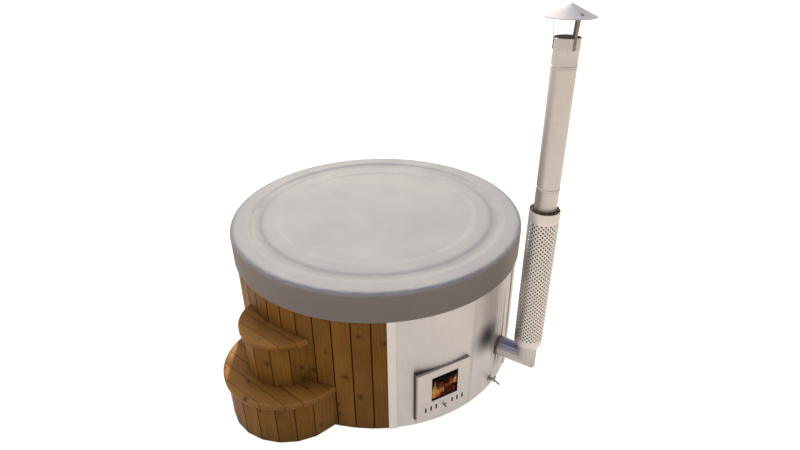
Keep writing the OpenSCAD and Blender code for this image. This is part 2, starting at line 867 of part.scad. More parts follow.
// The slot that the knob's stem runs in
module stem_slot() {
    r = stem_r + 1;
    z = slot_z - 14;
    rod_y(r, window_x, front_y - cut, skin_y + cut, z);
    rod_y(r, window_x + air_travel, front_y - cut, skin_y + cut, z);
    limits(window_x, window_x + air_travel, front_y - cut, skin_y + cut, z - r, z + r);
}

// A folded pan: a face with a window and air slots, four flanges and the moving knuckles
module door_pan()
    color("gainsboro") {
        difference() {
            limits(door_left, door_right, front_y, door_back, door_low, door_z1);
            limits(door_left + door_t, door_right - door_t, skin_y, door_back + cut,
                   door_low + door_t, door_z1 - door_t);
            limits(window_x - window_w / 2, window_x + window_w / 2, front_y - cut, skin_y + cut,
                   window_z - window_h / 2, window_z + window_h / 2);
            for (x = slot_offsets) air_slot(window_x + x);
            stem_slot();
        }
        for (z = hinge_zs)
            translate([0, 0, z + knuckle_h + fit])
                difference() {
                    union() {
                        translate([hinge_x, hinge_y, 0]) cylinder(h = knuckle_h, r = knuckle_r);
                        limits(door_right - weld, hinge_x, hinge_y - 3, hinge_y + 2, 0, knuckle_h);
                    }
                    translate([hinge_x, hinge_y, -cut])
                        cylinder(h = knuckle_h + 2 * cut, r = pin_r + pin_play);
                }
    }

module door_glass()
    color("lightsteelblue", 0.4)
        limits(window_x - window_w / 2 - glass_lap, window_x + window_w / 2 + glass_lap,
               glass_y, glass_y + glass_t,
               window_z - window_h / 2 - glass_lap, window_z + window_h / 2 + glass_lap);

// Holds the glass against the door's face
module glass_frame() {
    wall = 3;
    hx = window_w / 2 + glass_lap + fit + wall;
    hz = window_h / 2 + glass_lap + fit + wall;
    color("dimgrey") {
        frame_xz(window_x, window_z, hx, hz, wall, skin_y, clip_y + clip_t);
        frame_xz(window_x, window_z, hx, hz, hx - window_w / 2, clip_y, clip_y + clip_t);
    }
}

// Two hooked strips that the air slide runs between
module slide_guides() {
    web = 2.5;
    lip = 5;
    lip_y = slide_y + slide_t + fit;
    x0 = slide_x0 - 4;
    x1 = slide_x1 + air_travel;
    color("dimgrey")
        for (side = [-1, 1]) {
            z_web = slot_z + side * (slide_hz + fit + web / 2);
            z_lip = slot_z + side * (slide_hz + fit + web - (lip + web) / 2);
            limits(x0, x1, skin_y, lip_y + slide_t, z_web - web / 2, z_web + web / 2);
            limits(x0, x1, lip_y, lip_y + slide_t, z_lip - (lip + web) / 2, z_lip + (lip + web) / 2);
        }
}

module seal_channel()
    color("dimgrey")
        frame_xz(door_x, door_z, seal_in, seal_in_z, channel_w, skin_y, channel_y);

module door_seal()
    color("white")
        frame_xz(door_x, door_z, seal_in - 0.7, seal_in_z - 0.7, seal_w, channel_y + fit, door_back);

// The inner pan, with an opening for the glass and one for the air
module door_liner()
    color("dimgrey")
        difference() {
            limits(door_x - liner_hw, door_x + liner_hw, skin_y, door_liner_y + door_liner_t,
                   door_z - liner_hz, door_z + liner_hz);
            limits(door_x - liner_hw + door_liner_t, door_x + liner_hw - door_liner_t, skin_y - cut,
                   door_liner_y, door_z - liner_hz + door_liner_t, door_z + liner_hz - door_liner_t);
            limits(window_x - window_w / 2, window_x + window_w / 2, skin_y, door_back,
                   window_z - window_h / 2, window_z + window_h / 2);
            limits(window_x - slot_first - 2 * slot_pitch - slot_w, window_x + slot_first + 2 * slot_pitch + slot_w,
                   skin_y, door_back, slot_z - slot_h / 2, slot_z + slot_h / 2);
        }

// A blade on the liner that passes the catch's roller
module catch_striker()
    color("silver") {
        limits(striker_x, striker_x + 3, door_liner_y + door_liner_t, collar_front + 34,
               catch_z - catch_h / 2, catch_z + catch_h / 2);
        limits(striker_x, striker_x + 18, door_liner_y + door_liner_t, door_liner_y + door_liner_t + 3,
               catch_z - catch_h / 2, catch_z + catch_h / 2);
    }

module air_slide()
    color("silver")
        difference() {
            limits(slide_x0, slide_x1, slide_y, slide_y + slide_t, slot_z - slide_hz, slot_z + slide_hz);
            for (x = slot_offsets) air_slot(window_x + x);
        }

module air_knob() {
    z = slot_z - 14;
    head = 1;
    color("dimgrey") {
        rod_y(stem_r, window_x, front_y - head - cut, slide_y, z);
        rod_y(knob_r, window_x, front_y - knob_l, front_y - head, z);
    }
}

// ---------- flue ----------

// A straight pipe with a spigot at its lower end, from z0 to z1
module flue_pipe(z0, z1)
    at_flue()
        translate([flue_rho, 0, 0])
            rotate_extrude()
                polygon([[spigot_ri, z0 - spigot_l], [spigot_ro, z0 - spigot_l], [spigot_ro, z0 + fit],
                         [flue_r, z0 + fit], [flue_r, z1], [flue_ri, z1], [flue_ri, z0 + 4],
                         [spigot_ri, z0 + 1]]);

// The pipe from the smoke box out through the cladding, with a bead at its end
module flue_stub()
    color("silver")
        at_flue()
            difference() {
                union() {
                    rod_x(flue_r, smoke_rho, stub_end, flue_z);
                    rod_x(flue_r + 1.5, stub_end - 8, stub_end, flue_z);
                }
                rod_x(flue_ri, smoke_rho - cut, stub_end + cut, flue_z);
            }

// A heat-proof ring between the stub and the cladding
module flue_gland()
    color("black")
        at_flue()
            difference() {
                rod_x(gland_r, wall_r - 14, wall_r - 1, flue_z);
                rod_x(flue_r + fit, wall_r - 14 - cut, wall_r - 1 + cut, flue_z);
            }

// One side of the mitre plane through the elbow's corner
module mitre_side(upper)
    translate([flue_rho, 0, flue_z])
        rotate([0, -45, 0])
            translate([upper ? 0 : -far, -far / 2, -far / 2]) cube([far, far, far]);

module elbow_core(r, x0, z1)
    union() {
        intersection() {
            rod_x(r, x0, flue_rho + 2 * flue_r, flue_z);
            mitre_side(false);
        }
        intersection() {
            translate([flue_rho, 0, flue_z - 2 * flue_r]) cylinder(h = z1 - flue_z + 2 * flue_r, r = r);
            mitre_side(true);
        }
    }

module flue_elbow()
    color("silver")
        at_flue()
            difference() {
                elbow_core(flue_r, stub_end + fit, elbow_top);
                elbow_core(flue_ri, stub_end + fit - cut, elbow_top + cut);
            }

module flue_lower_pipe() color("silver") flue_pipe(elbow_top, joint_mid);
module flue_upper_pipe() color("silver") flue_pipe(joint_mid, joint_top);
module flue_adapter() color("silver") flue_pipe(joint_top, collar_low + collar_h * 0.4);

// A sleeve round the lower flue, closed in by a cone at its foot
module heat_guard()
    color("silver")
        at_flue()
            translate([flue_rho, 0, 0])
                rotate_extrude()
                    polygon([[flue_r + fit, guard_low], [flue_r + fit + guard_t, guard_low],
                             [guard_r, guard_low + guard_cone_h], [guard_r, guard_top],
                             [guard_r - guard_t, guard_top],
                             [guard_r - guard_t, guard_low + guard_cone_h + 0.5]]);

// Three bent clips at the top of the guard and three near its foot
module guard_spacers() {
    clip_w = 14;
    clip_h = 16;
    r0 = flue_r + fit;
    r1 = sqrt(pow(guard_r - guard_t - fit, 2) - pow(clip_w / 2, 2));
    color("silver")
        at_flue()
            translate([flue_rho, 0, 0])
                for (z = [guard_top - 24, guard_low + guard_cone_h + 20], a = [-60, 60, 180])
                    rotate([0, 0, a])
                        union() {
                            limits(r0, r1, -clip_w / 2, clip_w / 2, z, z + 2);
                            limits(r1 - 2, r1, -clip_w / 2, clip_w / 2, z, z + clip_h);
                            limits(r0, r0 + 2, -clip_w / 2, clip_w / 2, z, z + clip_h);
                        }
}

// ---------- rain cap ----------

module cap_collar()
    color("silver")
        at_flue()
            translate([flue_rho, 0, collar_low])
                difference() {
                    cylinder(h = flue_top - collar_low, r = flue_r + fit + flue_t);
                    translate([0, 0, -cut]) cylinder(h = far, r = flue_r + fit);
                }

module cap_straps() {
    r0 = flue_r + 2 * fit + flue_t;
    r1 = r0 + strap_flare;
    top = cap_low + (cap_r - r1 - strap_t) * cap_slope - cap_sheet - fit;
    color("dimgrey")
        at_flue()
            translate([flue_rho, 0, 0])
                for (a = strap_azs)
                    rotate([90, 0, a - flue_az])
                        linear_extrude(strap_w, center = true)
                            polygon([[r0, collar_low + 2], [r0 + strap_t, collar_low + 2],
                                     [r0 + strap_t, flue_top], [r1 + strap_t, top], [r1, top],
                                     [r0, flue_top]]);
}

module cap_cone()
    color("whitesmoke")
        at_flue()
            translate([flue_rho, 0, 0])
                rotate_extrude()
                    polygon([[0, cap_low + cap_h], [0, cap_low + cap_h - cap_sheet],
                             [cap_r, cap_low - cap_sheet], [cap_r, cap_low]]);

// ---------- drain ----------

module drain_strainer() {
    r = drain_r + 22;
    z = foot_floor + fit;
    color("silver")
        at_drain()
            difference() {
                union() {
                    translate([drain_rho, 0, z]) cylinder(h = 4, r = r);
                    translate([drain_rho, 0, z - basin_t - fit]) cylinder(h = basin_t + fit, r = drain_r - drain_t - fit);
                }
                for (i = [-2:2])
                    limits(drain_rho - 9, drain_rho + 9, i * 5 - 1.5, i * 5 + 1.5, z - 20, z + 20);
            }
}

// From the floor hole down to an elbow block, then out to the wall
module drain_pipe()
    color("dimgrey")
        at_drain()
            difference() {
                union() {
                    translate([drain_rho, 0, drain_z])
                        cylinder(h = foot_floor - fit - drain_z, r = drain_r);
                    rod_x(drain_r, drain_rho, wall_r - 4 * fit - sheet_t, drain_z);
                    limits(drain_rho - drain_r - 3, drain_rho + drain_r + 3, -drain_r - 3, drain_r + 3,
                           drain_z - drain_r - 3, drain_z + drain_r + 3);
                }
                translate([drain_rho, 0, drain_z])
                    cylinder(h = foot_floor, r = drain_r - drain_t);
                rod_x(drain_r - drain_t, drain_rho, far, drain_z);
            }

module tap_escutcheon()
    color("silver")
        at_drain()
            difference() {
                rod_x(drain_r + 8, wall_r + fit, wall_r + fit + 4, drain_z);
                rod_x(tap_r + fit, wall_r - cut, wall_r + 10, drain_z);
            }

// A threaded tail in the drain pipe, a hexagon, a barrel and an upright boss
module tap_body()
    color("silver")
        at_drain()
            difference() {
                union() {
                    rod_x(drain_r - drain_t - fit, wall_r - 14, wall_r - 1, drain_z);
                    rod_x(tap_r, wall_r - 1 - cut, tap_end, drain_z);
                    translate([wall_r + 5, 0, drain_z])
                        rotate([0, 90, 0]) cylinder(h = 10, r = tap_r + 4, $fn = 6);
                    translate([tap_axis, 0, drain_z]) cylinder(h = boss_top - drain_z, r = boss_r);
                }
                rod_x(spout_r - 1.5, wall_r - 14 - cut, tap_end - 16, drain_z);
                rod_x(spout_r - 1.5, tap_end - 5, tap_end + cut, drain_z);
                translate([tap_axis, 0, boss_top - 8]) cylinder(h = 8 + cut, r = 3 + pin_play);
            }

// A bent tube: an arc downwards and a straight hose end
module tap_spout()
    color("silver")
        at_drain()
            difference() {
                spout_form(spout_r, 0);
                spout_form(spout_r - 1.5, cut);
            }

module spout_form(r, extra)
    translate([tap_end + fit, 0, drain_z - spout_bend_r])
        rotate([90, 0, 0]) {
            rotate([0, 0, 90 - spout_angle])
                rotate_extrude(angle = spout_angle) translate([spout_bend_r, 0]) circle(r = r);
            rotate([0, 0, 90 - spout_angle])
                translate([spout_bend_r, 0, 0])
                    rotate([90, 0, 0]) cylinder(h = spout_l + extra, r = r);
        }

// A butterfly handle on a spindle that turns in the boss
module tap_handle()
    color("silver")
        at_drain()
            translate([tap_axis, 0, 0]) {
                translate([0, 0, boss_top - 7]) cylinder(h = 7 + 2 * fit, r = 3);
                translate([0, 0, boss_top + fit]) cylinder(h = 6, r = boss_r - 1);
                limits(-4, 4, -handle_l / 2 + 5, handle_l / 2 - 5, boss_top + 3, boss_top + 9);
                for (side = [-1, 1])
                    translate([0, side * (handle_l / 2 - 5), boss_top + 3]) cylinder(h = 8, r = 5);
            }

// ---------- steps ----------

module wall_space() cylinder(h = far, r = wall_clear_r, center = true, $fn = big_fn);

// Flat fascia boards between the angles in lines, their corners on radius r
module fascia(r, lines, z0, z1)
    difference() {
        at_steps()
            for (i = [0:len(lines) - 2]) {
                half = (lines[i + 1] - lines[i]) / 2;
                x1 = r * cos(half);
                x0 = x1 - fascia_t;
                xc = x1 - fascia_chamfer;
                y1 = x1 * tan(half) - fascia_gap / 2;
                yc = xc * tan(half) - fascia_gap / 2;
                y0 = x0 * tan(half) - fascia_gap / 2;
                rotate([0, 0, (lines[i] + lines[i + 1]) / 2])
                    translate([0, 0, z0])
                        linear_extrude(z1 - z0)
                            polygon([[x0, -y0], [xc, -yc], [x1, -y1 + fascia_chamfer],
                                     [x1, y1 - fascia_chamfer], [xc, yc], [x0, y0]]);
            }
        wall_space();
    }

// Tread boards side by side under one round edge, cut to the wall
module tread(r, top) {
    count = ceil((r - tread_first) / tread_board);
    difference() {
        at_steps()
            intersection() {
                rotate_extrude($fn = big_fn)
                    union() {
                        translate([0, top - tread_t]) square([r - tread_round, tread_t]);
                        translate([0, top - tread_t]) square([r, tread_t - tread_round]);
                        translate([r - tread_round, top - tread_round]) circle(r = tread_round, $fn = 64);
                    }
                union() {
                    limits(-far, tread_first - tread_gap / 2, -far, far, 0, far);
                    for (i = [0:count - 1])
                        limits(tread_first + i * tread_board + tread_gap / 2,
                               tread_first + (i + 1) * tread_board - tread_gap / 2, -far, far, 0, far);
                }
            }
        wall_space();
    }
}

module lower_fascia() color("saddlebrown") fascia(low_r, low_lines, ground_gap, low_top - tread_t - fit);
module lower_tread() color("chocolate") tread(low_r + nosing, low_top);
module upper_fascia() color("saddlebrown") fascia(up_r, up_lines, low_top + fit, up_top - tread_t - fit);
module upper_tread() color("chocolate") tread(up_r + nosing, up_top);

// A half-round rib just inside the fascia
module step_rib(r, z0, z1)
    difference() {
        at_steps() ring(r, r - rib_w, z0, z1);
        wall_space();
        at_steps() limits(-far, -step_inset, -far, far, 0, far);
    }

// Ribs that the fascia boards are screwed to, and posts under the treads
module step_frames() {
    low_in = low_r * cos(14.2) - fascia_t - fit;
    up_in = up_r * cos(15) - fascia_t - fit;
    low_under = low_top - tread_t - fit;
    up_under = up_top - tread_t - fit;
    notch = 12;
    low_post = low_in - rib_w + notch - post_w / 2;
    up_post = up_in - rib_w + notch - post_w / 2;
    color("peru") {
        step_rib(low_in, ground_gap, ground_gap + step_rib_t);
        step_rib(low_in, low_under - step_rib_t, low_under);
        step_rib(up_in, low_top + fit, low_top + fit + step_rib_t);
        step_rib(up_in, up_under - step_rib_t, up_under);
        at_steps() {
            for (a = [-60, -20, 20, 60])
                rotate([0, 0, a])
                    limits(low_post - post_w / 2, low_post + post_w / 2, -post_w / 2, post_w / 2, 0, low_under);
            for (a = [-22, 22])
                rotate([0, 0, a])
                    limits(up_post - post_w / 2, up_post + post_w / 2, -post_w / 2, post_w / 2,
                           low_top + fit, up_under);
        }
    }
}

// ---------- lid ----------

function ease(t) = t * t * (3 - 2 * t);
function lid_face(d, i = 0) =
    d <= lid_form[0][0] ? 0 :
    d > lid_form[i + 1][0] ? lid_face(d, i + 1) :
    let (a = lid_form[i], b = lid_form[i + 1])
    a[1] + (b[1] - a[1]) * ease((d - a[0]) / (b[0] - a[0]));

// Points of the lid's moulded face from its axis out to the rounded edge, lowered by drop
function lid_curve(drop) =
    [for (r = [0:lid_step:lid_r - lid_form[0][0]]) [r, lid_top + lid_face(lid_r - r) - drop]];
function lid_corner(drop) =
    [for (a = [90:-9:0])
        [lid_r - lid_round + (lid_round - drop) * cos(a), lid_top - lid_round + (lid_round - drop) * sin(a)]];
function reversed(p) = [for (i = [len(p) - 1:-1:0]) p[i]];

module lid_shell()
    color("silver")
        rotate_extrude($fn = big_fn)
            polygon(concat(lid_curve(0), lid_corner(0),
                           [[lid_r - lid_draft, lid_low], [lid_r - lid_draft - lid_skin, lid_low]],
                           reversed(lid_corner(lid_skin)), reversed(lid_curve(lid_skin))));

module lid_foam() {
    drop = lid_skin + fit;
    color("lightyellow")
        rotate_extrude($fn = big_fn)
            polygon(concat([[0, liner_z + liner_t + fit]], lid_curve(drop),
                           [[lid_r - lid_form[0][0], lid_top - drop],
                            [wall_r - fit, lid_top - lid_round],
                            [wall_r - fit, liner_z + liner_t + fit]]));
}

module lid_liner()
    color("white")
        translate([0, 0, liner_z]) cylinder(h = liner_t, r = wall_r - fit, $fn = big_fn);

base_joists();
base_board();
floor_foam();
wall_studs();
wall_hoops();
wall_foam();
basin();
basin_well();
bench_ribs();
wall_boards();
cladding_frame();
stove_cladding();
cladding_trims();
hearth_board();
water_jacket();
firebox();
stove_front_plate();
fire_grate();
firewood();
smoke_box();
water_pipes();
pipe_grilles();
door_collar();
hinge_pins();
door_catch();
door_pan();
door_glass();
glass_frame();
slide_guides();
seal_channel();
door_seal();
door_liner();
catch_striker();
air_slide();
air_knob();
flue_stub();
flue_gland();
flue_elbow();
flue_lower_pipe();
flue_upper_pipe();
flue_adapter();
heat_guard();
guard_spacers();
cap_collar();
cap_straps();
cap_cone();
drain_strainer();
drain_pipe();
tap_escutcheon();
tap_body();
tap_spout();
tap_handle();
step_frames();
lower_fascia();
lower_tread();
upper_fascia();
upper_tread();
lid_shell();
lid_foam();
lid_liner();
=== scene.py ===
# %% [markdown]
# # A round wooden hot tub, dressed on its CAD frame
#
# The CAD model gives every piece its real size and place. This lesson adds what the
# eye expects on top of that: boards with grain and knots, satin stainless sheet, a
# perforated guard round the hot flue, a moulded grey lid, and a fire behind the glass.
# Object coordinates are in metres, and sizes that a maker would measure are written in
# millimetres and multiplied by MM where they are used. +Z is up, the tub's centre is
# at the origin and the stove door faces -Y. Angles are counter-clockwise from +X, seen
# from above.

# %% Load the frame and keep its box
import json
import math
import random

import bmesh
import bpy
from mathutils import Matrix, Vector, noise


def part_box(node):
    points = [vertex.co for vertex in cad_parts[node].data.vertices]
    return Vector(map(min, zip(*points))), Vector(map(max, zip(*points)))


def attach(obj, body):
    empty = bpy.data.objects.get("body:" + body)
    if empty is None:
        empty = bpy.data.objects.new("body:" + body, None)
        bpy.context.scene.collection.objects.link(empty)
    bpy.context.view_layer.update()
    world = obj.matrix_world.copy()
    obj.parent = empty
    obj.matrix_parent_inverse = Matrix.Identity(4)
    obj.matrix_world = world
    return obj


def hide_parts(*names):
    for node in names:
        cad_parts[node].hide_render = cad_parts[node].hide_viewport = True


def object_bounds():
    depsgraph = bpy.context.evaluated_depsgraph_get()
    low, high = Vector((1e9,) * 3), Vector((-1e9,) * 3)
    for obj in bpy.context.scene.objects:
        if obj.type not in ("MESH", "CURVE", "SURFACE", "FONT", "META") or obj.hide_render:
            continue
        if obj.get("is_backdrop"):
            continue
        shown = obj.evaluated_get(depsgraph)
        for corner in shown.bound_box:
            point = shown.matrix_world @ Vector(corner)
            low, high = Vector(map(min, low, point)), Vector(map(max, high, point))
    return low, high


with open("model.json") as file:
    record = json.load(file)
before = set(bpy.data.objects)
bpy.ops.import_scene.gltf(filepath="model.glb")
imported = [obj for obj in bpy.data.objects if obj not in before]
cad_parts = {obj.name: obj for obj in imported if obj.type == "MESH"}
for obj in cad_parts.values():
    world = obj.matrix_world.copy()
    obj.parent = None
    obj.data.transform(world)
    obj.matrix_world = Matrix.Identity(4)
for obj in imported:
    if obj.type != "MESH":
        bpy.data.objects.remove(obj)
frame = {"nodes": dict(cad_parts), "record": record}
cad_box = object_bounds()
MM = 0.001
print("CAD box", [round(v, 4) for corner in cad_box for v in corner])

# %% [markdown]
# ## The camera
#
# The photograph was taken from well above head height, in front of the tub and to
# the left. A pinhole camera fitted to the outlines of lid, wall, steps and flue gives
# its place, its direction and a wide lens. Writing the matrix down column by column
# (right, up, backwards) keeps those numbers readable.

# %% Camera
CAMERA_PLACE = Vector((-1.527, -3.111, 2.828))
CAMERA_HEADING = math.radians(61.15)
CAMERA_DOWN = math.radians(28.574)
CAMERA_ROLL = math.radians(-0.4916)

forward = Vector((math.cos(CAMERA_HEADING) * math.cos(CAMERA_DOWN),
                  math.sin(CAMERA_HEADING) * math.cos(CAMERA_DOWN),
                  -math.sin(CAMERA_DOWN)))
level_right = Vector((math.sin(CAMERA_HEADING), -math.cos(CAMERA_HEADING), 0))
level_up = level_right.cross(forward)
right = math.cos(CAMERA_ROLL) * level_right + math.sin(CAMERA_ROLL) * level_up
up = -math.sin(CAMERA_ROLL) * level_right + math.cos(CAMERA_ROLL) * level_up

camera_data = bpy.data.cameras.new("camera")
camera_data.lens = 24.92
camera_data.sensor_width = 36
camera_data.clip_end = 200
camera = bpy.data.objects.new("camera", camera_data)
scene = bpy.context.scene
scene.collection.objects.link(camera)
camera.matrix_world = Matrix((
    (right.x, up.x, -forward.x, CAMERA_PLACE.x),
    (right.y, up.y, -forward.y, CAMERA_PLACE.y),
    (right.z, up.z, -forward.z, CAMERA_PLACE.z),
    (0, 0, 0, 1)))
scene.camera = camera
print("camera", round(CAMERA_PLACE.length, 2), "m from the tub's foot")

# %% [markdown]
# ## Shader nodes
#
# Every finish here is a tree of shader nodes. The same few lines add any kind of node,
# set its properties and join it to the others, so one function does that. It also takes
# a colour as the hex value that a colour picker shows, and turns it to the linear light
# that the shaders count in.

# %% Add a node
def hex_colour(text):
    """An sRGB hex value as the linear colour that shader sockets take."""
    parts = [int(text[i:i + 2], 16) / 255 for i in (1, 3, 5)]
    linear = [p / 12.92 if p <= 0.04045 else ((p + 0.055) / 1.055) ** 2.4 for p in parts]
    return (*linear, 1.0)


def add_node(tree, kind, inputs=None, **settings):
    """Adds a node, sets its properties, and links or fills its input sockets.

    A node as an input stands for its first live output, and a text for a hex colour."""
    made = tree.nodes.new("ShaderNode" + kind)
    for key, value in settings.items():
        setattr(made, key, value)
    for name, value in (inputs or {}).items():
        if isinstance(value, bpy.types.Node):
            value = next(socket for socket in value.outputs if socket.enabled)
        if isinstance(value, bpy.types.NodeSocket):
            tree.links.new(value, made.inputs[name])
        else:
            made.inputs[name].default_value = hex_colour(value) if isinstance(value, str) else value
    return made


print("mid grey #808080 is", round(hex_colour("#808080")[0], 3), "in linear light")

# %% [markdown]
# ## Floor and light
#
# The photograph has a plain white ground and soft light from above. A low warm sun
# stands behind the tub: the tub shades its own steps from it, except for a narrow
# golden strip along the far left edge of the lower tread. The line where that strip
# ends gives the sun's direction. The world is white where the camera and glass look at
# it, and dimmer as a light, so that colours render about as they are written.

# %% World
HORIZON_LIGHT, ZENITH_LIGHT = 0.315, 0.6
scene.view_settings.view_transform = "Standard"
scene.world = bpy.data.worlds.new("studio")
scene.world.use_nodes = True
tree = scene.world.node_tree
tree.nodes.clear()
path = add_node(tree, "LightPath")
seen = add_node(tree, "Math", {0: path.outputs["Is Camera Ray"],
                               1: path.outputs["Is Transmission Ray"]}, operation="MAXIMUM")
towards = add_node(tree, "TexCoord")
height = add_node(tree, "SeparateXYZ", {0: towards.outputs["Generated"]}).outputs["Z"]
sky = add_node(tree, "MapRange", {"Value": height, "To Min": HORIZON_LIGHT,
                                  "To Max": ZENITH_LIGHT})
lighting = add_node(tree, "Background", {"Color": "#f3f2f4", "Strength": sky})
shown = add_node(tree, "Background", {"Color": "#ffffff", "Strength": 1.0})
# what metal and glass mirror: a white horizon, a blue-grey band above it, a pale zenith
bands = add_node(tree, "ValToRGB", {0: height})
ramp = bands.color_ramp
ramp.elements[0].position, ramp.elements[0].color = 0.02, hex_colour("#f4f1ec")
ramp.elements[1].position, ramp.elements[1].color = 0.95, hex_colour("#e4e3ea")
ramp.elements.new(0.38).color = hex_colour("#94a2c6")
mirrored = add_node(tree, "Background", {"Color": bands, "Strength": 0.85})
lit = add_node(tree, "MixShader", {0: path.outputs["Is Glossy Ray"], 1: lighting, 2: mirrored})
seen_or_lit = add_node(tree, "MixShader", {0: seen, 1: lit, 2: shown})
add_node(tree, "OutputWorld", {"Surface": seen_or_lit})
print("sky light from", HORIZON_LIGHT, "at the horizon to", ZENITH_LIGHT, "overhead")

# %% Start a finish, a piece and a lamp
def start_finish(name):
    """A new material with an empty node tree."""
    material = bpy.data.materials.new(name)
    material.use_nodes = True
    material.node_tree.nodes.clear()
    return material, material.node_tree


def start_from(primitive_add, name, place=(0, 0, 0), **sizes):
    """A new named primitive, added with nothing else selected."""
    bpy.ops.object.select_all(action="DESELECT")
    primitive_add(location=place, **sizes)
    piece = bpy.context.object
    piece.name = name
    return piece


def add_lamp(name, kind, place, aim, energy, colour, **form):
    """A lamp at a place, turned towards its aim."""
    data = bpy.data.lights.new(name, kind)
    for key, value in {"energy": energy, "color": colour, **form}.items():
        setattr(data, key, value)
    lamp = bpy.data.objects.new(name, data)
    scene.collection.objects.link(lamp)
    lamp.location = place
    lamp.rotation_euler = (Vector(aim) - Vector(place)).to_track_quat("-Z", "Y").to_euler()
    lamp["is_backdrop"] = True


print("three helpers: the start of a finish, of a piece and of a lamp")

# %% Floor
FLOOR_HALF = 30

floor = start_from(bpy.ops.mesh.primitive_plane_add, "studio_floor", size=2 * FLOOR_HALF)
floor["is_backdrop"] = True
floor_paint, tree = start_finish("studio_floor_paint")
path = add_node(tree, "LightPath")
matt = add_node(tree, "BsdfDiffuse", {"Color": "#968a7b"})
glow = add_node(tree, "Emission", {"Color": "#ffffff", "Strength": 0.93})
white = add_node(tree, "AddShader", {0: matt, 1: glow})
direct = add_node(tree, "Math", {0: path.outputs["Is Camera Ray"],
                                 1: path.outputs["Is Glossy Ray"]}, operation="MAXIMUM")
both = add_node(tree, "MixShader", {0: direct, 1: matt, 2: white})
add_node(tree, "OutputMaterial", {"Surface": both})
floor.data.materials.append(floor_paint)
print("floor", 2 * FLOOR_HALF, "m wide")

# %% Lamps
SUN_TURN, SUN_RISE, SUN_AWAY = math.radians(66.2), math.radians(36), 8

add_lamp("overhead", "AREA", place=(-0.6, 1.2, 6.5), aim=(0, 0, 1), energy=190,
         colour=(0.97, 0.98, 1), shape="DISK", size=5)
sun_place = SUN_AWAY * Vector((math.cos(SUN_TURN), math.sin(SUN_TURN), math.tan(SUN_RISE)))
add_lamp("low_sun_behind", "SUN", place=sun_place, aim=(0, 0, 0), energy=3.5,
         colour=(1, 0.87, 0.62), angle=math.radians(1.5))
print("sun from", [round(v, 1) for v in sun_place])

# %% [markdown]
# ## Small helpers
#
# So one helper makes a single object the selected and active one. Two more say which
# CAD node a finished piece belongs to: it moves with that node's body, and may also
# take its place in the picture. A hidden CAD node that already has the right shape only
# gets its finish, and its mesh is left alone. One that is seen up close is dressed: a
# copy is merged, its edges are eased by a bevel where the real ones are, and it is
# shaded smooth. The last helper cures the streaks that long thin triangles leave on a
# rolled sheet.

# %% Give a piece its finish and its body
BODY_OF = {node: body for body, members in frame["record"]["behaviour"]["bodies"].items()
           for node in members}


def only(piece):
    """Makes this object the one that operators act on."""
    bpy.ops.object.select_all(action="DESELECT")
    piece.select_set(True)
    bpy.context.view_layer.objects.active = piece


def add_to(piece, finish, node):
    """The piece gets its finish, and moves with the CAD node's body."""
    piece.data.materials.clear()
    piece.data.materials.append(finish)
    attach(piece, BODY_OF[node])


def stand_for(piece, finish, node):
    """The same, and the piece takes the node's place in the picture."""
    add_to(piece, finish, node)
    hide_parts(node)


def finish_nodes(finish, *nodes):
    """Gives CAD nodes a finish as they are."""
    for node in nodes:
        for slot in frame["nodes"][node].material_slots:
            slot.link = "OBJECT"
            slot.material = finish


# %% Dress a CAD node
MERGE = 0.02 * MM


def apply_modifier(piece, kind, **settings):
    """Gives the active piece a modifier with these settings, and applies it."""
    modifier = piece.modifiers.new(kind.lower(), kind)
    for key, value in settings.items():
        setattr(modifier, key, value)
    bpy.ops.object.modifier_apply(modifier=modifier.name)


def dress(node, finish, sharp=35, bevel=0.0):
    """A merged and smooth copy of a CAD node, with its edges eased by bevel millimetres."""
    piece = bpy.data.objects.new(node + "_dressed", frame["nodes"][node].data.copy())
    scene.collection.objects.link(piece)
    only(piece)
    bpy.ops.object.mode_set(mode="EDIT")
    bpy.ops.mesh.select_all(action="SELECT")
    bpy.ops.mesh.remove_doubles(threshold=MERGE)
    if bevel:
        bpy.ops.mesh.dissolve_limited(angle_limit=math.radians(0.4))
    bpy.ops.object.mode_set(mode="OBJECT")
    if bevel:
        apply_modifier(piece, "BEVEL", width=bevel * MM, segments=2, limit_method="ANGLE",
                       angle_limit=math.radians(40))
    bpy.ops.object.shade_smooth_by_angle(angle=math.radians(sharp))
    stand_for(piece, finish, node)
    return piece


def true_round(piece):
    """Gives the faces of a rolled sheet the exact normals of its cylinder about Z."""
    mesh = piece.data
    normals = [corner.vector.copy() for corner in mesh.corner_normals]
    for loop in mesh.loops:
        outward = mesh.vertices[loop.vertex_index].co.copy()
        outward.z = 0
        outward.normalize()
        facing = normals[loop.index].dot(outward)
        if abs(facing) > 0.95:
            normals[loop.index] = outward if facing > 0 else -outward
    mesh.normals_split_custom_set(normals)


print("corners closer than", MERGE / MM, "mm are merged")

# %% [markdown]
# ## Stained spruce
#
# The wall, the steps' fascias and the treads are planed spruce boards under a
# translucent brown stain. The stain evens out the colour, but the growth rings still
# show as soft streaks, every board has its own tone, and knots stay darker. The grain
# follows each board, so it can't come from one set of world coordinates. Each board
# gets a small map of its own in metres, across and along, and two numbers: its tone,
# raised on a tread's side faces as painted light on the nose, and whether a face lies
# in a groove, where the stain gathers and dirt settles. The inner corners are darkened
# as painted shade.
#
# Real growth rings are 2 to 4 mm apart. At the distance of the photograph that is
# less than a pixel, so the streaks are drawn 24 mm wide. Knots come from a pattern of
# cells: each cell draws a number, and has a knot only where that passes a gate.

# %% Parts of a finish
def stretched_noise(tree, vector, stretch, scale, **more):
    """Noise whose grains are long along the axes with a small stretch."""
    place = add_node(tree, "Mapping", {"Vector": vector, "Scale": stretch})
    more = {name.capitalize(): value for name, value in more.items()}
    return add_node(tree, "TexNoise", {"Vector": place, "Scale": scale, **more})


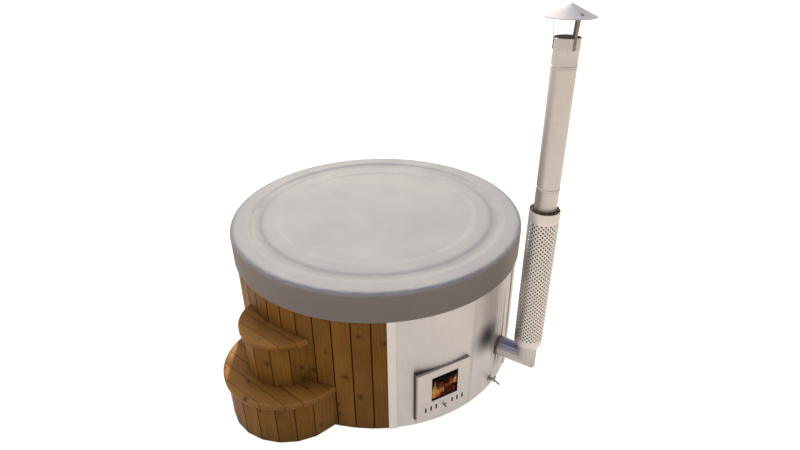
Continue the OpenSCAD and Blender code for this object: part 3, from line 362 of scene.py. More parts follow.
def end_finish(material, looks, height, strength, depth_mm):
    """The end of a solid finish: the relief of a pattern, the surface and the output."""
    tree = material.node_tree
    relief = add_node(tree, "Bump", {"Height": height, "Strength": strength,
                                     "Distance": depth_mm * MM})
    surface = add_node(tree, "BsdfPrincipled", {**looks, "Normal": relief})
    add_node(tree, "OutputMaterial", {"Surface": surface})
    return material


print("two helpers: stretched noise, and the end of a finish")

# %% Knots
KNOT_CELL_MM = 165
KNOT_GATE = 0.42


def knot_share(tree, grain):
    """How much of a knot a place on the board is, and how far it turns the rings."""
    cells = add_node(tree, "TexVoronoi", {"Vector": grain, "Scale": 1000 / KNOT_CELL_MM},
                     voronoi_dimensions="2D")
    draws = add_node(tree, "SeparateColor", {0: cells.outputs["Color"]})
    has_knot = add_node(tree, "Math", {0: draws.outputs["Red"], 1: KNOT_GATE},
                        operation="GREATER_THAN")
    size = add_node(tree, "MapRange", {"Value": draws.outputs["Green"], "To Min": 0.045,
                                       "To Max": 0.098})
    core = add_node(tree, "Math", {0: size, 1: 0.3}, operation="MULTIPLY")
    halo_end = add_node(tree, "Math", {0: size, 1: 2.6}, operation="MULTIPLY")
    knot = add_node(tree, "MapRange", {"Value": cells, "From Min": core, "From Max": size,
                                       "To Min": 0.92, "To Max": 0},
                    interpolation_type="SMOOTHSTEP")
    halo = add_node(tree, "MapRange", {"Value": cells, "From Min": core, "From Max": halo_end,
                                       "To Min": 0.55, "To Max": 0},
                    interpolation_type="SMOOTHSTEP")
    darkest = add_node(tree, "Math", {0: knot, 1: halo}, operation="MAXIMUM")
    share = add_node(tree, "Math", {0: darkest, 1: has_knot}, operation="MULTIPLY")
    swirl = add_node(tree, "MapRange", {"Value": cells, "From Max": 0.34, "To Min": 4.5,
                                        "To Max": 0}, interpolation_type="SMOOTHSTEP")
    return share, add_node(tree, "Math", {0: swirl, 1: has_knot}, operation="MULTIPLY")


print("knots in cells of", KNOT_CELL_MM, "mm")

# %% Stained wood finish
RING_MM = 24
CORNER_REACH_MM = 170


def stained_spruce(name, early, late, knot, roughness, sheen):
    """Planed spruce under brown stain: satin, streaked along the board, with knots."""
    material, tree = start_finish(name)
    grain = add_node(tree, "UVMap", uv_map="grain")
    tone = add_node(tree, "Attribute", attribute_name="board_tone").outputs["Fac"]
    groove = add_node(tree, "Attribute", attribute_name="board_groove").outputs["Fac"]
    knots, swirl = knot_share(tree, grain)
    # long, slow waves make the arches of a plain-sawn board
    slow = stretched_noise(tree, grain, (9, 1.1, 1), 1, detail=2)
    across = add_node(tree, "SeparateXYZ", {0: grain}).outputs["X"]
    steady = add_node(tree, "Math", {0: across, 1: 2 * math.pi * 1000 / RING_MM},
                      operation="MULTIPLY")
    waving = add_node(tree, "Math", {0: slow, 1: 22, 2: steady}, operation="MULTIPLY_ADD")
    bent = add_node(tree, "Math", {0: swirl, 1: waving}, operation="ADD")
    rings = add_node(tree, "Math", {0: bent}, operation="SINE")
    ring_share = add_node(tree, "MapRange", {"Value": rings, "From Min": -0.6, "From Max": 1.0},
                          interpolation_type="SMOOTHSTEP")
    fibre = stretched_noise(tree, grain, (110, 4, 1), 1, detail=3)
    # the stain takes unevenly, in patches a hand or two long
    patch = stretched_noise(tree, grain, (12, 4.5, 1), 1, detail=3)
    soft_rings = add_node(tree, "Math", {0: ring_share, 1: 0.2}, operation="MULTIPLY")
    streaks = add_node(tree, "MapRange", {"Value": fibre, "From Min": 0.3, "From Max": 0.75,
                                          "To Max": 0.28})
    late_share = add_node(tree, "Math", {0: soft_rings, 1: streaks}, operation="ADD")
    wood = add_node(tree, "Mix", {0: late_share, 6: early, 7: late}, data_type="RGBA")
    knotty = add_node(tree, "Mix", {0: knots, 6: wood, 7: knot}, data_type="RGBA")
    # stain and dirt gather in the grooves; an occlusion node darkens the inner corners as painted
    # shade
    groove_share = add_node(tree, "Math", {0: groove, 1: 0.72}, operation="MULTIPLY")
    grooved = add_node(tree, "Mix", {0: groove_share, 6: knotty, 7: "#43240d"},
                       data_type="RGBA")
    corner = add_node(tree, "AmbientOcclusion", {"Distance": CORNER_REACH_MM * MM}, samples=6)
    painted_corner_shade = add_node(tree, "MapRange", {"Value": corner.outputs["AO"], "From Min": 0.3,
                                       "From Max": 0.85, "To Min": 0.5, "To Max": 1})
    # a tread's side faces are raised past 1 in tone as painted light on the nose, so this map is
    # not clamped
    bright = add_node(tree, "MapRange", {"Value": tone, "From Min": -1, "From Max": 1,
                                         "To Min": 0.84, "To Max": 1.14}, clamp=False)
    uneven = add_node(tree, "MapRange", {"Value": patch, "From Min": 0.3, "From Max": 0.7,
                                         "To Min": 0.84, "To Max": 1.14})
    shade = add_node(tree, "Math", {0: bright, 1: uneven}, operation="MULTIPLY")
    # painted shade in the corners is multiplied into the colour here
    shaded = add_node(tree, "Math", {0: shade, 1: painted_corner_shade}, operation="MULTIPLY")
    colour = add_node(tree, "VectorMath", {0: grooved, "Scale": shaded}, operation="SCALE")
    gloss = add_node(tree, "MapRange", {"Value": fibre, "From Min": 0.3, "From Max": 0.7,
                                        "To Min": roughness - 0.05, "To Max": roughness + 0.07})
    open_face = add_node(tree, "Math", {0: 1.0, 1: groove}, operation="SUBTRACT")
    shine = add_node(tree, "Math", {0: open_face, 1: sheen}, operation="MULTIPLY")
    looks = {"Base Color": colour, "Roughness": gloss, "IOR": 1.45, "Specular IOR Level": shine}
    return end_finish(material, looks, late_share, 0.3, 0.6)


wall_stain = stained_spruce("stained_spruce_wall", "#ab7833", "#7b511d", "#4a270d", 0.55, 0.2)
tread_stain = stained_spruce("stained_spruce_tread", "#9b6c31", "#76501f", "#43250f", 0.5, 0.22)
print("rings drawn", RING_MM, "mm apart")

# %% [markdown]
# ## Boards with their own grain
#
# A node of boards is many loose solids. Each is found by walking over its linked
# faces, and its faces get their place across and along the board, shifted by a random
# amount so that no two boards share a knot. Wall and fascia boards stand upright and
# look away from a centre; tread boards lie flat, side by side.

# %% Plans for the boards
STEP_TURN = math.radians(-158.3)
STEP_OUT = Vector((math.cos(STEP_TURN), math.sin(STEP_TURN), 0))
STEP_SIDE = Vector((-math.sin(STEP_TURN), math.cos(STEP_TURN), 0))
STEP_AWAY = 888
STEP_CENTRE = STEP_OUT * STEP_AWAY * MM
LOWER_TREAD_R, UPPER_TREAD_R, NOSE = 423 * MM, 285 * MM, 25 * MM
# how far a tread's side faces are raised in tone: painted light on the nose
NOSE_PAINTED_LIGHT = 2.6
FACE_ON = 0.97


def upright_board(centre):
    """Place on the board, groove, and no painted light on the sides, for boards round a centre."""
    def plan(board_middle):
        outward = board_middle - centre
        outward.z = 0
        outward.normalize()
        side = Vector((-outward.y, outward.x, 0))

        def place(point, normal):
            depth = (point - board_middle).dot(outward)
            in_front = normal.dot(outward) > FACE_ON
            return (point - board_middle).dot(side) + (0 if in_front else depth), point.z

        def in_groove(face):
            in_front = face.normal.dot(outward) > FACE_ON
            return 0.0 if in_front or abs(face.normal.z) > 0.9 else 1.0

        def painted_side_light(face):
            return 0.0
        return place, in_groove, painted_side_light, side
    return plan


def flat_board(edge_radius):
    """The same for the boards of a tread, whose side faces are raised in tone as painted light on
    the nose.
    """
    def plan(board_middle):
        def place(point, normal):
            local = point - STEP_CENTRE
            return local.dot(STEP_OUT) + point.z, local.dot(STEP_SIDE)

        def in_groove(face):
            local = face.calc_center_median() - STEP_CENTRE
            at_edge = Vector((local.x, local.y)).length > edge_radius - NOSE
            return 1.0 if abs(face.normal.dot(STEP_OUT)) > FACE_ON and not at_edge else 0.0

        # painted light: every upright face of a tread is raised in tone
        def painted_side_light(face):
            return NOSE_PAINTED_LIGHT if abs(face.normal.z) < 0.8 else 0.0
        return place, in_groove, painted_side_light, STEP_OUT
    return plan


print("steps centred", STEP_AWAY, "mm from the tub's axis")

# %% Map the boards
def linked_faces(mesh):
    """The faces of each loose solid in turn, as a list."""
    unseen = set(mesh.faces)
    for first in mesh.faces:
        if first not in unseen:
            continue
        unseen.discard(first)
        board = [first]
        for face in board:
            for near in (n for edge in face.edges for n in edge.link_faces if n in unseen):
                unseen.discard(near)
                board.append(near)
        yield board


def grain_boards(node, finish, plan_for, seed, swell_mm=0.0):
    """A dressed copy of a node of boards, with grain map, tone and groove per board.

    swell_mm widens each board on both sides, as wet wood does, until joints are shut."""
    piece = dress(node, finish, sharp=25)
    draw = random.Random(seed)
    mesh = bmesh.new()
    mesh.from_mesh(piece.data)
    grain = mesh.loops.layers.uv.new("grain")
    tone = mesh.faces.layers.float.new("board_tone")
    groove = mesh.faces.layers.float.new("board_groove")
    boards = list(linked_faces(mesh))
    for board in boards:
        corners = {v for face in board for v in face.verts}
        low = Vector([min(v.co[i] for v in corners) for i in range(3)])
        high = Vector([max(v.co[i] for v in corners) for i in range(3)])
        middle = (low + high) / 2
        place, in_groove, painted_side_light, side = plan_for(middle)
        for corner in corners:
            corner.co += side * math.copysign(swell_mm * MM, (corner.co - middle).dot(side))
        shift = Vector((draw.uniform(0, 40), draw.uniform(0, 40)))
        board_tone = draw.uniform(-1, 1)
        for face in board:
            # a tread's side faces add painted light to the board's tone
            face[tone] = board_tone + painted_side_light(face)
            face[groove] = in_groove(face)
            for loop in face.loops:
                loop[grain].uv = Vector(place(loop.vert.co, face.normal)) + shift
    mesh.to_mesh(piece.data)
    mesh.free()
    print(node, len(boards), "boards,", len(piece.data.polygons), "faces")


grain_boards("wall_boards", wall_stain, upright_board(Vector((0, 0, 0))), 11)
grain_boards("lower_fascia", wall_stain, upright_board(STEP_CENTRE), 12, swell_mm=0.45)
grain_boards("upper_fascia", wall_stain, upright_board(STEP_CENTRE), 13, swell_mm=0.45)
grain_boards("lower_tread", tread_stain, flat_board(LOWER_TREAD_R), 14)
grain_boards("upper_tread", tread_stain, flat_board(UPPER_TREAD_R), 15)

# %% [markdown]
# ## Satin stainless sheet
#
# The cladding, trims, door and flue are stainless sheet with a ground satin finish:
# a warm pale grey that spreads its reflections wide and shows no mirror image. The
# grinding leaves fine lines along the sheet, which only roughen the gloss, and hands
# and rain leave faint cloudy patches. Some tones are painted light and shade: a soft
# dark spot on the cladding beside the flue is a painted shadow and reflection of the
# pipe, brown on the pipe inside the guard is painted shade in the gap behind its holes,
# blue on top of the elbow is a painted reflection of the sky, and the door's collar is
# painted dark grey as shade in its recess. One function makes all these sheets and the
# plated fittings, because they differ only in tone, gloss, the direction of grinding
# and the place of the tint. Real grinding lines are 0.1 mm apart; they are drawn 3 mm
# apart so that a close view can show them.

# %% Sheet metal finishes
BRUSH_LINE_MM = 3
UPRIGHT, LEVEL_X, EVEN = (1, 1, 0.02), (0.02, 1, 1), (1, 1, 1)
FLUE_TURN = math.radians(-62.3)
FLUE_WAY = Vector((math.cos(FLUE_TURN), math.sin(FLUE_TURN), 0))
FLUE_AWAY = 1186.5
FLUE = FLUE_WAY * FLUE_AWAY * MM


def satin_sheet(name, colour, stained, roughness, stretch, heat=None):
    """Ground stainless sheet: brush lines run along the axis with the small stretch.

    heat places a tint that paints shade and reflections: a place, the distances where the tint
    starts and ends, and the tint."""
    material, tree = start_finish(name)
    place = add_node(tree, "TexCoord").outputs["Object"]
    lines = stretched_noise(tree, place, stretch, 1000 / BRUSH_LINE_MM, detail=2)
    clouds = add_node(tree, "TexNoise", {"Vector": place, "Scale": 7, "Detail": 4,
                                         "Roughness": 0.6})
    cloud_share = add_node(tree, "MapRange", {"Value": clouds, "From Min": 0.35,
                                              "From Max": 0.7, "To Max": 0.6})
    tone = add_node(tree, "Mix", {0: cloud_share, 6: colour, 7: stained}, data_type="RGBA")
    if heat:
        # painted shade and painted reflection: the tint fades with distance from a place
        middle, near, far, tint = heat
        away = add_node(tree, "VectorMath", {0: place, 1: middle}, operation="DISTANCE")
        painted_tint_share = add_node(tree, "MapRange", {"Value": away, "From Min": near, "From Max": far,
                                             "To Min": 1, "To Max": 0},
                          interpolation_type="SMOOTHSTEP")
        tone = add_node(tree, "Mix", {0: painted_tint_share, 6: tone, 7: tint}, data_type="RGBA")
    line_gloss = add_node(tree, "MapRange", {"Value": lines, "From Min": 0.3, "From Max": 0.7,
                                             "To Min": roughness - 0.05,
                                             "To Max": roughness + 0.06})
    gloss = add_node(tree, "Math", {0: cloud_share, 1: 0.03, 2: line_gloss},
                     operation="MULTIPLY_ADD")
    looks = {"Base Color": tone, "Metallic": 1.0, "Roughness": gloss}
    return end_finish(material, looks, lines, 0.12, 0.1)


# the dark tint beside the flue's entry is a painted shadow and reflection of the pipe
wall_sheet = satin_sheet("satin_stainless_cladding", "#c7c0bc", "#c2bbb7", 0.52, UPRIGHT,
                         heat=((0.302, -0.936, 0.485), 0.01, 0.18, "#484749"))
trim_sheet = satin_sheet("folded_stainless_trim", "#d0c9c1", "#c9c2ba", 0.48, UPRIGHT)
door_sheet = satin_sheet("satin_stainless_door", "#c5bcb5", "#bdb5ad", 0.45, LEVEL_X)
# the collar is stainless like the door; its dark grey is painted shade and dark reflection in the
# door's recess
collar_painted_shade_sheet = satin_sheet("stainless_door_collar_painted_shade", "#645e5a", "#5b5653", 0.6, LEVEL_X)
flue_sheet = satin_sheet("welded_stainless_flue_pipe", "#bfb7b1", "#b7afa8", 0.4, UPRIGHT)
# the brown tint on the pipe inside the guard is painted shade in the gap behind its holes
guard_shaded_pipe_sheet = satin_sheet("flue_pipe_painted_shade", "#bfb7b1", "#b7afa8", 0.4, UPRIGHT,
                        heat=(FLUE + Vector((0, 0, 0.44)), 0.90, 0.96, "#6d635a"))
# the blue-grey tint on top of the elbow is a painted reflection of the sky
elbow_sheet = satin_sheet("flue_elbow_painted_sky_reflection", "#bfb7b1", "#b7afa8", 0.5, UPRIGHT,
                          heat=(FLUE_WAY * 1.08 + Vector((0, 0, 0.405)), 0.055, 0.115, "#bfc6d9"))
guard_sheet = satin_sheet("perforated_stainless_guard", "#d3ccc5", "#cbc4bd", 0.48, UPRIGHT)
cap_sheet = satin_sheet("spun_stainless_cap", "#b3b1b7", "#adabb1", 0.8, EVEN)
strap_strip = satin_sheet("punched_steel_strap", "#877f76", "#6f675f", 0.42, UPRIGHT)
tap_metal = satin_sheet("nickel_plated_brass_tap", "#b5aca3", "#9b9289", 0.34, EVEN)
mill_steel = satin_sheet("rolled_steel_water_jacket", "#8f8f90", "#7b7a79", 0.5, UPRIGHT)
zinc_steel = satin_sheet("zinc_plated_fitting", "#8a8784", "#77736d", 0.38, EVEN)
print("brush lines drawn", BRUSH_LINE_MM, "mm apart")

# %% Dress the sheet metal
true_round(dress("stove_cladding", wall_sheet))
true_round(dress("cladding_trims", trim_sheet))
metal_pieces = (("door_collar", collar_painted_shade_sheet, 0), ("door_pan", door_sheet, 0.8),
                ("flue_stub", flue_sheet, 0), ("flue_elbow", elbow_sheet, 0),
                ("tap_escutcheon", tap_metal, 0.6), ("tap_body", tap_metal, 0.6),
                ("tap_spout", tap_metal, 0), ("tap_handle", tap_metal, 1.2),
                ("air_knob", zinc_steel, 0.8), ("drain_strainer", zinc_steel, 0.4),
                ("water_pipes", zinc_steel, 0), ("guard_spacers", flue_sheet, 0))
for node, finish, eased in metal_pieces:
    dress(node, finish, bevel=eased)
finish_nodes(mill_steel, "water_jacket", "smoke_box")
finish_nodes(zinc_steel, "hinge_pins", "door_catch", "catch_striker", "air_slide",
             "slide_guides", "glass_frame", "seal_channel", "pipe_grilles")
print(2 + len(metal_pieces), "pieces of sheet and cast metal dressed")

# %% [markdown]
# ## The lid
#
# The lid is one large vacuum-formed moulding over foam: a rounded rim, a shallow ring
# and a slightly sunken middle, then a skirt that hangs over the wall. Its sheet is
# grey plastic with a fine stipple from the mould, which gives a soft sheen with no
# sharp reflection. A real stipple is finer than a millimetre; it is drawn 4 mm wide so
# that it shows. The CAD model already has this form, so a merged and smoothed copy
# keeps its exact curves. Outdoors, rain dries on it in faint marks. Three rings of tint
# go all round: painted shade in the shallow ring, painted shade with a blue-grey painted
# reflection on the rim's rounding, and a lighter, warmer grey on the skirt.

# %% Lid finishes
def moulded_sheet(name, colour, worn, roughness, stipple_mm, stipple, shade_and_tone_rings=()):
    """Vacuum-formed plastic: satin, finely stippled, with faint dried water marks.

    These rings of tint about the axis paint shade on the lid or change its tone: radius, reach,
    tint and share."""
    material, tree = start_finish(name)
    place = add_node(tree, "TexCoord").outputs["Object"]
    grains = add_node(tree, "TexNoise", {"Vector": place, "Scale": 1000 / stipple_mm,
                                         "Detail": 1})
    marks = add_node(tree, "TexNoise", {"Vector": place, "Scale": 3.2, "Detail": 5,
                                        "Roughness": 0.55, "Distortion": 0.4})
    worn_share = add_node(tree, "MapRange", {"Value": marks, "From Min": 0.38,
                                             "From Max": 0.68})
    tone = add_node(tree, "Mix", {0: worn_share, 6: colour, 7: worn}, data_type="RGBA")
    flat = add_node(tree, "VectorMath", {0: place, 1: (1, 1, 0)}, operation="MULTIPLY")
    out = add_node(tree, "VectorMath", {0: flat}, operation="LENGTH")
    # rings of tint about the axis: painted shade, and a tone for the skirt
    for radius, reach, tint, share in shade_and_tone_rings:
        off = add_node(tree, "Math", {0: out, 1: radius}, operation="SUBTRACT")
        away = add_node(tree, "Math", {0: off}, operation="ABSOLUTE")
        tint_share = add_node(tree, "MapRange", {"Value": away, "From Max": reach, "To Min": share,
                                           "To Max": 0}, interpolation_type="SMOOTHSTEP")
        tone = add_node(tree, "Mix", {0: tint_share, 6: tone, 7: tint}, data_type="RGBA")
    gloss = add_node(tree, "MapRange", {"Value": marks, "From Min": 0.3, "From Max": 0.7,
                                        "To Min": roughness - 0.03, "To Max": roughness + 0.06})
    looks = {"Base Color": tone, "Roughness": gloss, "IOR": 1.5}
    return end_finish(material, looks, grains, stipple, 0.3)


# the first two rings are painted shade, in the channel and on the rim's rounding, the second with a
# blue-grey painted reflection; the third makes the skirt a lighter, warmer grey
lid_sheet = moulded_sheet("vacuum_formed_lid", "#868790", "#888891", 0.66, 4, 0.25,
                          shade_and_tone_rings=((0.825, 0.062, "#77757b", 0.4), (0.978, 0.022, "#666b78", 0.5),
                                 (1.002, 0.016, "#aaa19b", 0.95)))
lid_liner_sheet = moulded_sheet("lid_liner_sheet", "#cfcfcd", "#c4c4c2", 0.5, 4, 0.2)
gelcoat = moulded_sheet("pearl_gelcoat_basin", "#c9cdd0", "#bfc4c8", 0.22, 9, 0.06)
dress("lid_shell", lid_sheet, sharp=40)
dress("lid_liner", lid_liner_sheet, sharp=40)
dress("basin", gelcoat)
dress("basin_well", gelcoat)

# %% [markdown]
# ## The flue pipes
#
# Each pipe is rolled from thin sheet, welded along one side, and pressed into a round
# bead near its lower end, where the next pipe's spigot stops. On a lathe-like piece
# the easiest way is to start with a circle and pull it from ring to ring: extrude,
# move up, scale about the axis. The profile ends where it began, so that merging the
# doubles closes the tube's wall.

# %% Rings pulled into a round piece
POINT_R = 0.01


def pull_ring(radius, height, new_radius, new_height):
    """Extrudes the selected ring about the flue's axis to a new radius and height in mm."""
    bpy.ops.mesh.extrude_region_move(
        TRANSFORM_OT_translate={"value": (0, 0, (new_height - height) * MM)})
    scale = new_radius / radius
    bpy.ops.transform.resize(value=(scale, scale, 1),
                             center_override=(FLUE.x, FLUE.y, new_height * MM))


def turned(name, profile, segments=96, sharp=35):
    """A round piece from rings at (radius, height) in mm about the flue's axis."""
    radius, height = profile[0]
    piece = start_from(bpy.ops.mesh.primitive_circle_add, name,
                       (FLUE.x, FLUE.y, height * MM), vertices=segments, radius=radius * MM)
    bpy.ops.object.transform_apply(location=True, rotation=True, scale=True)
    bpy.ops.object.mode_set(mode="EDIT")
    bpy.ops.mesh.select_all(action="SELECT")
    for new_radius, new_height in profile[1:]:
        new_radius = max(new_radius, POINT_R)
        pull_ring(radius, height, new_radius, new_height)
        radius, height = new_radius, new_height
    bpy.ops.mesh.select_all(action="SELECT")
    bpy.ops.mesh.remove_doubles(threshold=MERGE)
    bpy.ops.mesh.normals_make_consistent(inside=False)
    bpy.ops.object.mode_set(mode="OBJECT")
    bpy.ops.object.shade_smooth_by_angle(angle=math.radians(sharp))
    return piece


def arc(centre, radius, start, stop, steps=6):
    """Points on a circle in a profile, from one angle to another in degrees."""
    turns = [math.radians(start + (stop - start) * i / steps) for i in range(steps + 1)]
    return [(centre[0] + radius * math.cos(t), centre[1] + radius * math.sin(t)) for t in turns]


print("a half-round bead takes", len(arc((0, 0), 1, -90, 90)), "rings")

# %% Pipes and collar
PIPE_R, PIPE_IN = 64.5, 63.3
SPIGOT_R, SPIGOT_IN, SPIGOT = 63.0, 61.8, 40
ELBOW_END, LOWER_END, UPPER_END, ADAPTER_END = 440, 1522, 2188, 2301.6
COLLAR_IN, COLLAR_OUT, COLLAR_LOW, FLUE_END = 64.8, 66.0, 2278, 2337.0
COLLAR_ROLL = 1.2


def flue_pipe(node, low, high, bead, finish):
    """A pipe with a spigot below, a half-round bead above its joint and a crimped top."""
    wall_out = [(SPIGOT_R, low - SPIGOT), (SPIGOT_R, low + 0.3), (PIPE_R, low + 0.5)]
    if bead:
        wall_out += arc((PIPE_R, low + 12), 2.2, -90, 90)
    wall_out += [(PIPE_R, high - 3), (PIPE_R + 0.6, high - 1.5), (PIPE_R + 0.6, high)]
    wall_in = [(PIPE_IN, high), (PIPE_IN, low + 4), (SPIGOT_IN, low + 1),
               (SPIGOT_IN, low - SPIGOT), (SPIGOT_R, low - SPIGOT)]
    stand_for(turned(node + "_rolled", wall_out + wall_in), finish, node)


flue_pipe("flue_lower_pipe", ELBOW_END, LOWER_END, bead=False, finish=guard_shaded_pipe_sheet)
flue_pipe("flue_upper_pipe", LOWER_END, UPPER_END, bead=True, finish=flue_sheet)
flue_pipe("flue_adapter", UPPER_END, ADAPTER_END, bead=True, finish=flue_sheet)
collar = turned("cap_collar_rolled",
                [(COLLAR_IN, COLLAR_LOW), (COLLAR_OUT, COLLAR_LOW), (COLLAR_OUT, FLUE_END - 2.5)]
                + arc((COLLAR_OUT - 0.2, FLUE_END - COLLAR_ROLL), COLLAR_ROLL, -60, 150)
                + [(COLLAR_IN, FLUE_END - 1.5), (COLLAR_IN, COLLAR_LOW)])
stand_for(collar, flue_sheet, "cap_collar")
print("flue", 2 * PIPE_R, "mm across, open end at", FLUE_END, "mm")

# %% [markdown]
# ## The perforated guard
#
# The sleeve that keeps hands off the hot pipe is punched with staggered round holes
# and then rolled up. It is modelled in the same order. A flat grid has a corner
# wherever a hole may come; every second corner is bevelled into a small round patch of
# four faces, and the patches are deleted. Then the flat sheet is rolled to its radius, a
# plain band is pulled up at the top, and the foot is pulled down and drawn in to the pipe.
# The seam faces the tub, as it would on the real one, and has no holes.

# %% Punch the guard
GUARD_R, GUARD_SHEET, GUARD_TOP = 88.0, 1.5, 1395
HOLE_R, HOLE_COLUMNS, HOLE_ROWS = 6.1, 42, 64
FIELD_LOW, FIELD_HIGH = 478, 1334
# this bevel profile bends the cut outwards into a regular eight-sided hole
HOLE_PROFILE = 0.0858

guard = start_from(bpy.ops.mesh.primitive_grid_add, "heat_guard_punched",
                   x_subdivisions=HOLE_COLUMNS, y_subdivisions=HOLE_ROWS, size=1)
guard.scale = (2 * math.pi * GUARD_R * MM, (FIELD_HIGH - FIELD_LOW) * MM, 1)
bpy.ops.object.transform_apply(location=True, rotation=True, scale=True)
columns = sorted({round(v.co.x, 5) for v in guard.data.vertices})
rows = sorted({round(v.co.y, 5) for v in guard.data.vertices})
bpy.ops.object.mode_set(mode="EDIT")
bpy.ops.mesh.select_mode(type="VERT")
bpy.ops.mesh.select_all(action="DESELECT")
sheet = bmesh.from_edit_mesh(guard.data)
for corner in sheet.verts:
    column = columns.index(round(corner.co.x, 5))
    row = rows.index(round(corner.co.y, 5))
    inside = 0 < column < len(columns) - 1 and 0 < row < len(rows) - 1
    corner.select = inside and (column + row) % 2 == 0
holes = sum(corner.select for corner in sheet.verts)
bmesh.update_edit_mesh(guard.data)
bpy.ops.mesh.bevel(offset=HOLE_R * MM, segments=2, profile=HOLE_PROFILE, affect="VERTICES")
bpy.ops.mesh.select_mode(type="FACE")
bpy.ops.mesh.select_all(action="DESELECT")
sheet = bmesh.from_edit_mesh(guard.data)
quarter_hole = math.sqrt(0.5) * (HOLE_R * MM) ** 2
for face in sheet.faces:
    face.select = face.calc_area() < 2 * quarter_hole
punched = sum(face.select for face in sheet.faces) // 4
bmesh.update_edit_mesh(guard.data)
bpy.ops.mesh.delete(type="FACE")
bpy.ops.object.mode_set(mode="OBJECT")
print(holes, "holes marked,", punched, "punched")

# %% Roll the guard and pull its ends
SEAM = math.radians(118)
FOOT_BEND, FOOT_LOW, FOOT_R = 434, 400, 66.6

for v in guard.data.vertices:
    turn = SEAM + v.co.x / (GUARD_R * MM)
    height = v.co.y + (FIELD_HIGH + FIELD_LOW) / 2 * MM
    v.co = FLUE + Vector((GUARD_R * math.cos(turn), GUARD_R * math.sin(turn), 0)) * MM
    v.co.z = height


def pull_edge(piece, at, rings):
    """Selects the open edge at a height and pulls it along (radius, height) rings."""
    bpy.ops.mesh.select_mode(type="EDGE")
    bpy.ops.mesh.select_all(action="DESELECT")
    open_sheet = bmesh.from_edit_mesh(piece.data)
    for edge in open_sheet.edges:
        edge.select = edge.is_boundary and all(abs(v.co.z - at * MM) < 1e-5 for v in edge.verts)
    bmesh.update_edit_mesh(piece.data)
    radius, height = GUARD_R, at
    for ring in rings:
        pull_ring(radius, height, *ring)
        radius, height = ring


only(guard)
bpy.ops.object.mode_set(mode="EDIT")
bpy.ops.mesh.select_all(action="SELECT")
bpy.ops.mesh.remove_doubles(threshold=MERGE)
pull_edge(guard, FIELD_HIGH, [(GUARD_R, GUARD_TOP - 1.5), (GUARD_R - 0.4, GUARD_TOP)])
pull_edge(guard, FIELD_LOW, [(GUARD_R, FOOT_BEND + 7), (GUARD_R - 1.2, FOOT_BEND + 3),
                             (GUARD_R - 4, FOOT_BEND), (FOOT_R, FOOT_LOW)])
bpy.ops.mesh.select_all(action="SELECT")
bpy.ops.mesh.normals_make_consistent(inside=False)
bpy.ops.object.mode_set(mode="OBJECT")
apply_modifier(guard, "SOLIDIFY", thickness=GUARD_SHEET * MM, offset=-1)
bpy.ops.object.shade_smooth_by_angle(angle=math.radians(35))
stand_for(guard, guard_sheet, "heat_guard")
print("guard", 2 * GUARD_R, "mm across,", len(guard.data.polygons), "faces")

# %% [markdown]
# ## The rain cap
#
# A spun cone stands over the open pipe on three flat straps. Its rim is rolled for
# stiffness and its point is closed by a small dome. The straps are punched strip:
# riveted to the collar twice, leaning out past the opening, and bent under the cone to
# a tab with one more rivet. One strap is pulled from bend to bend beside the origin, and
# each of the three is a copy with its own mesh, turned to its own side of the pipe.

# %% Cone
CAP_R, CAP_LOW, CAP_H, CAP_SHEET = 127.0, 2432.0, 61.0, 1.2
CAP_SLOPE = CAP_H / CAP_R
CAP_TOP = CAP_LOW + CAP_H
CONE_STEPS = (120, 90, 60, 30, 12)


def under_cone(radius, gap):
    """Height on the cone's slope at a radius, less a gap."""
    return CAP_LOW + (CAP_R - radius) * CAP_SLOPE - gap


rim = (CAP_R - 1.6, CAP_LOW - 0.9)
cone = turned("cap_cone_spun",
              [rim] + arc((CAP_R - 1.6, CAP_LOW - 0.1), 1.5, -70, 70)
              + [(r, under_cone(r, 0)) for r in CONE_STEPS]
              + [(7, CAP_TOP - 3.2), (3, CAP_TOP - 1.2), (0, CAP_TOP - 0.4),
                 (0, CAP_TOP - 2.2), (6, CAP_TOP - 4.4)]
              + [(r, under_cone(r, CAP_SHEET)) for r in reversed(CONE_STEPS)] + [rim],
              segments=128, sharp=50)
stand_for(cone, cap_sheet, "cap_cone")
print("cap", 2 * CAP_R, "mm across, point at", CAP_TOP, "mm")

# %% Bend a strap
STRAP_W, STRAP_SHEET, STRAP_LOW = 15.0, 2.0, 2280.0
STRAP_IN, STRAP_FLARE = 66.3, 12.0
STRAP_OUT = STRAP_IN + STRAP_SHEET + STRAP_FLARE
STRAP_TOP = under_cone(STRAP_OUT, CAP_SHEET) - 0.5
# each pull of the strip, out and up: the leaning leg, the eased bend, the tab under the cone
STRAP_PULLS = ((STRAP_FLARE, STRAP_TOP - 2.2 - FLUE_END), (1.4, 1.5), (16.0, -15.2 * CAP_SLOPE))


def pull_top_edge(strap, out, up):
    """Extrudes the strip's highest and outermost edge, out and up in mm."""
    bpy.ops.mesh.select_mode(type="EDGE")
    bpy.ops.mesh.select_all(action="DESELECT")
    strip = bmesh.from_edit_mesh(strap.data)
    reach = max(v.co.x for v in strip.verts)
    top = max(v.co.z for v in strip.verts)
    for edge in strip.edges:
        edge.select = all(v.co.x > reach - 1e-6 and v.co.z > top - 1e-6 for v in edge.verts)
    bmesh.update_edit_mesh(strap.data)
    bpy.ops.mesh.extrude_region_move(TRANSFORM_OT_translate={"value": (out * MM, 0, up * MM)})


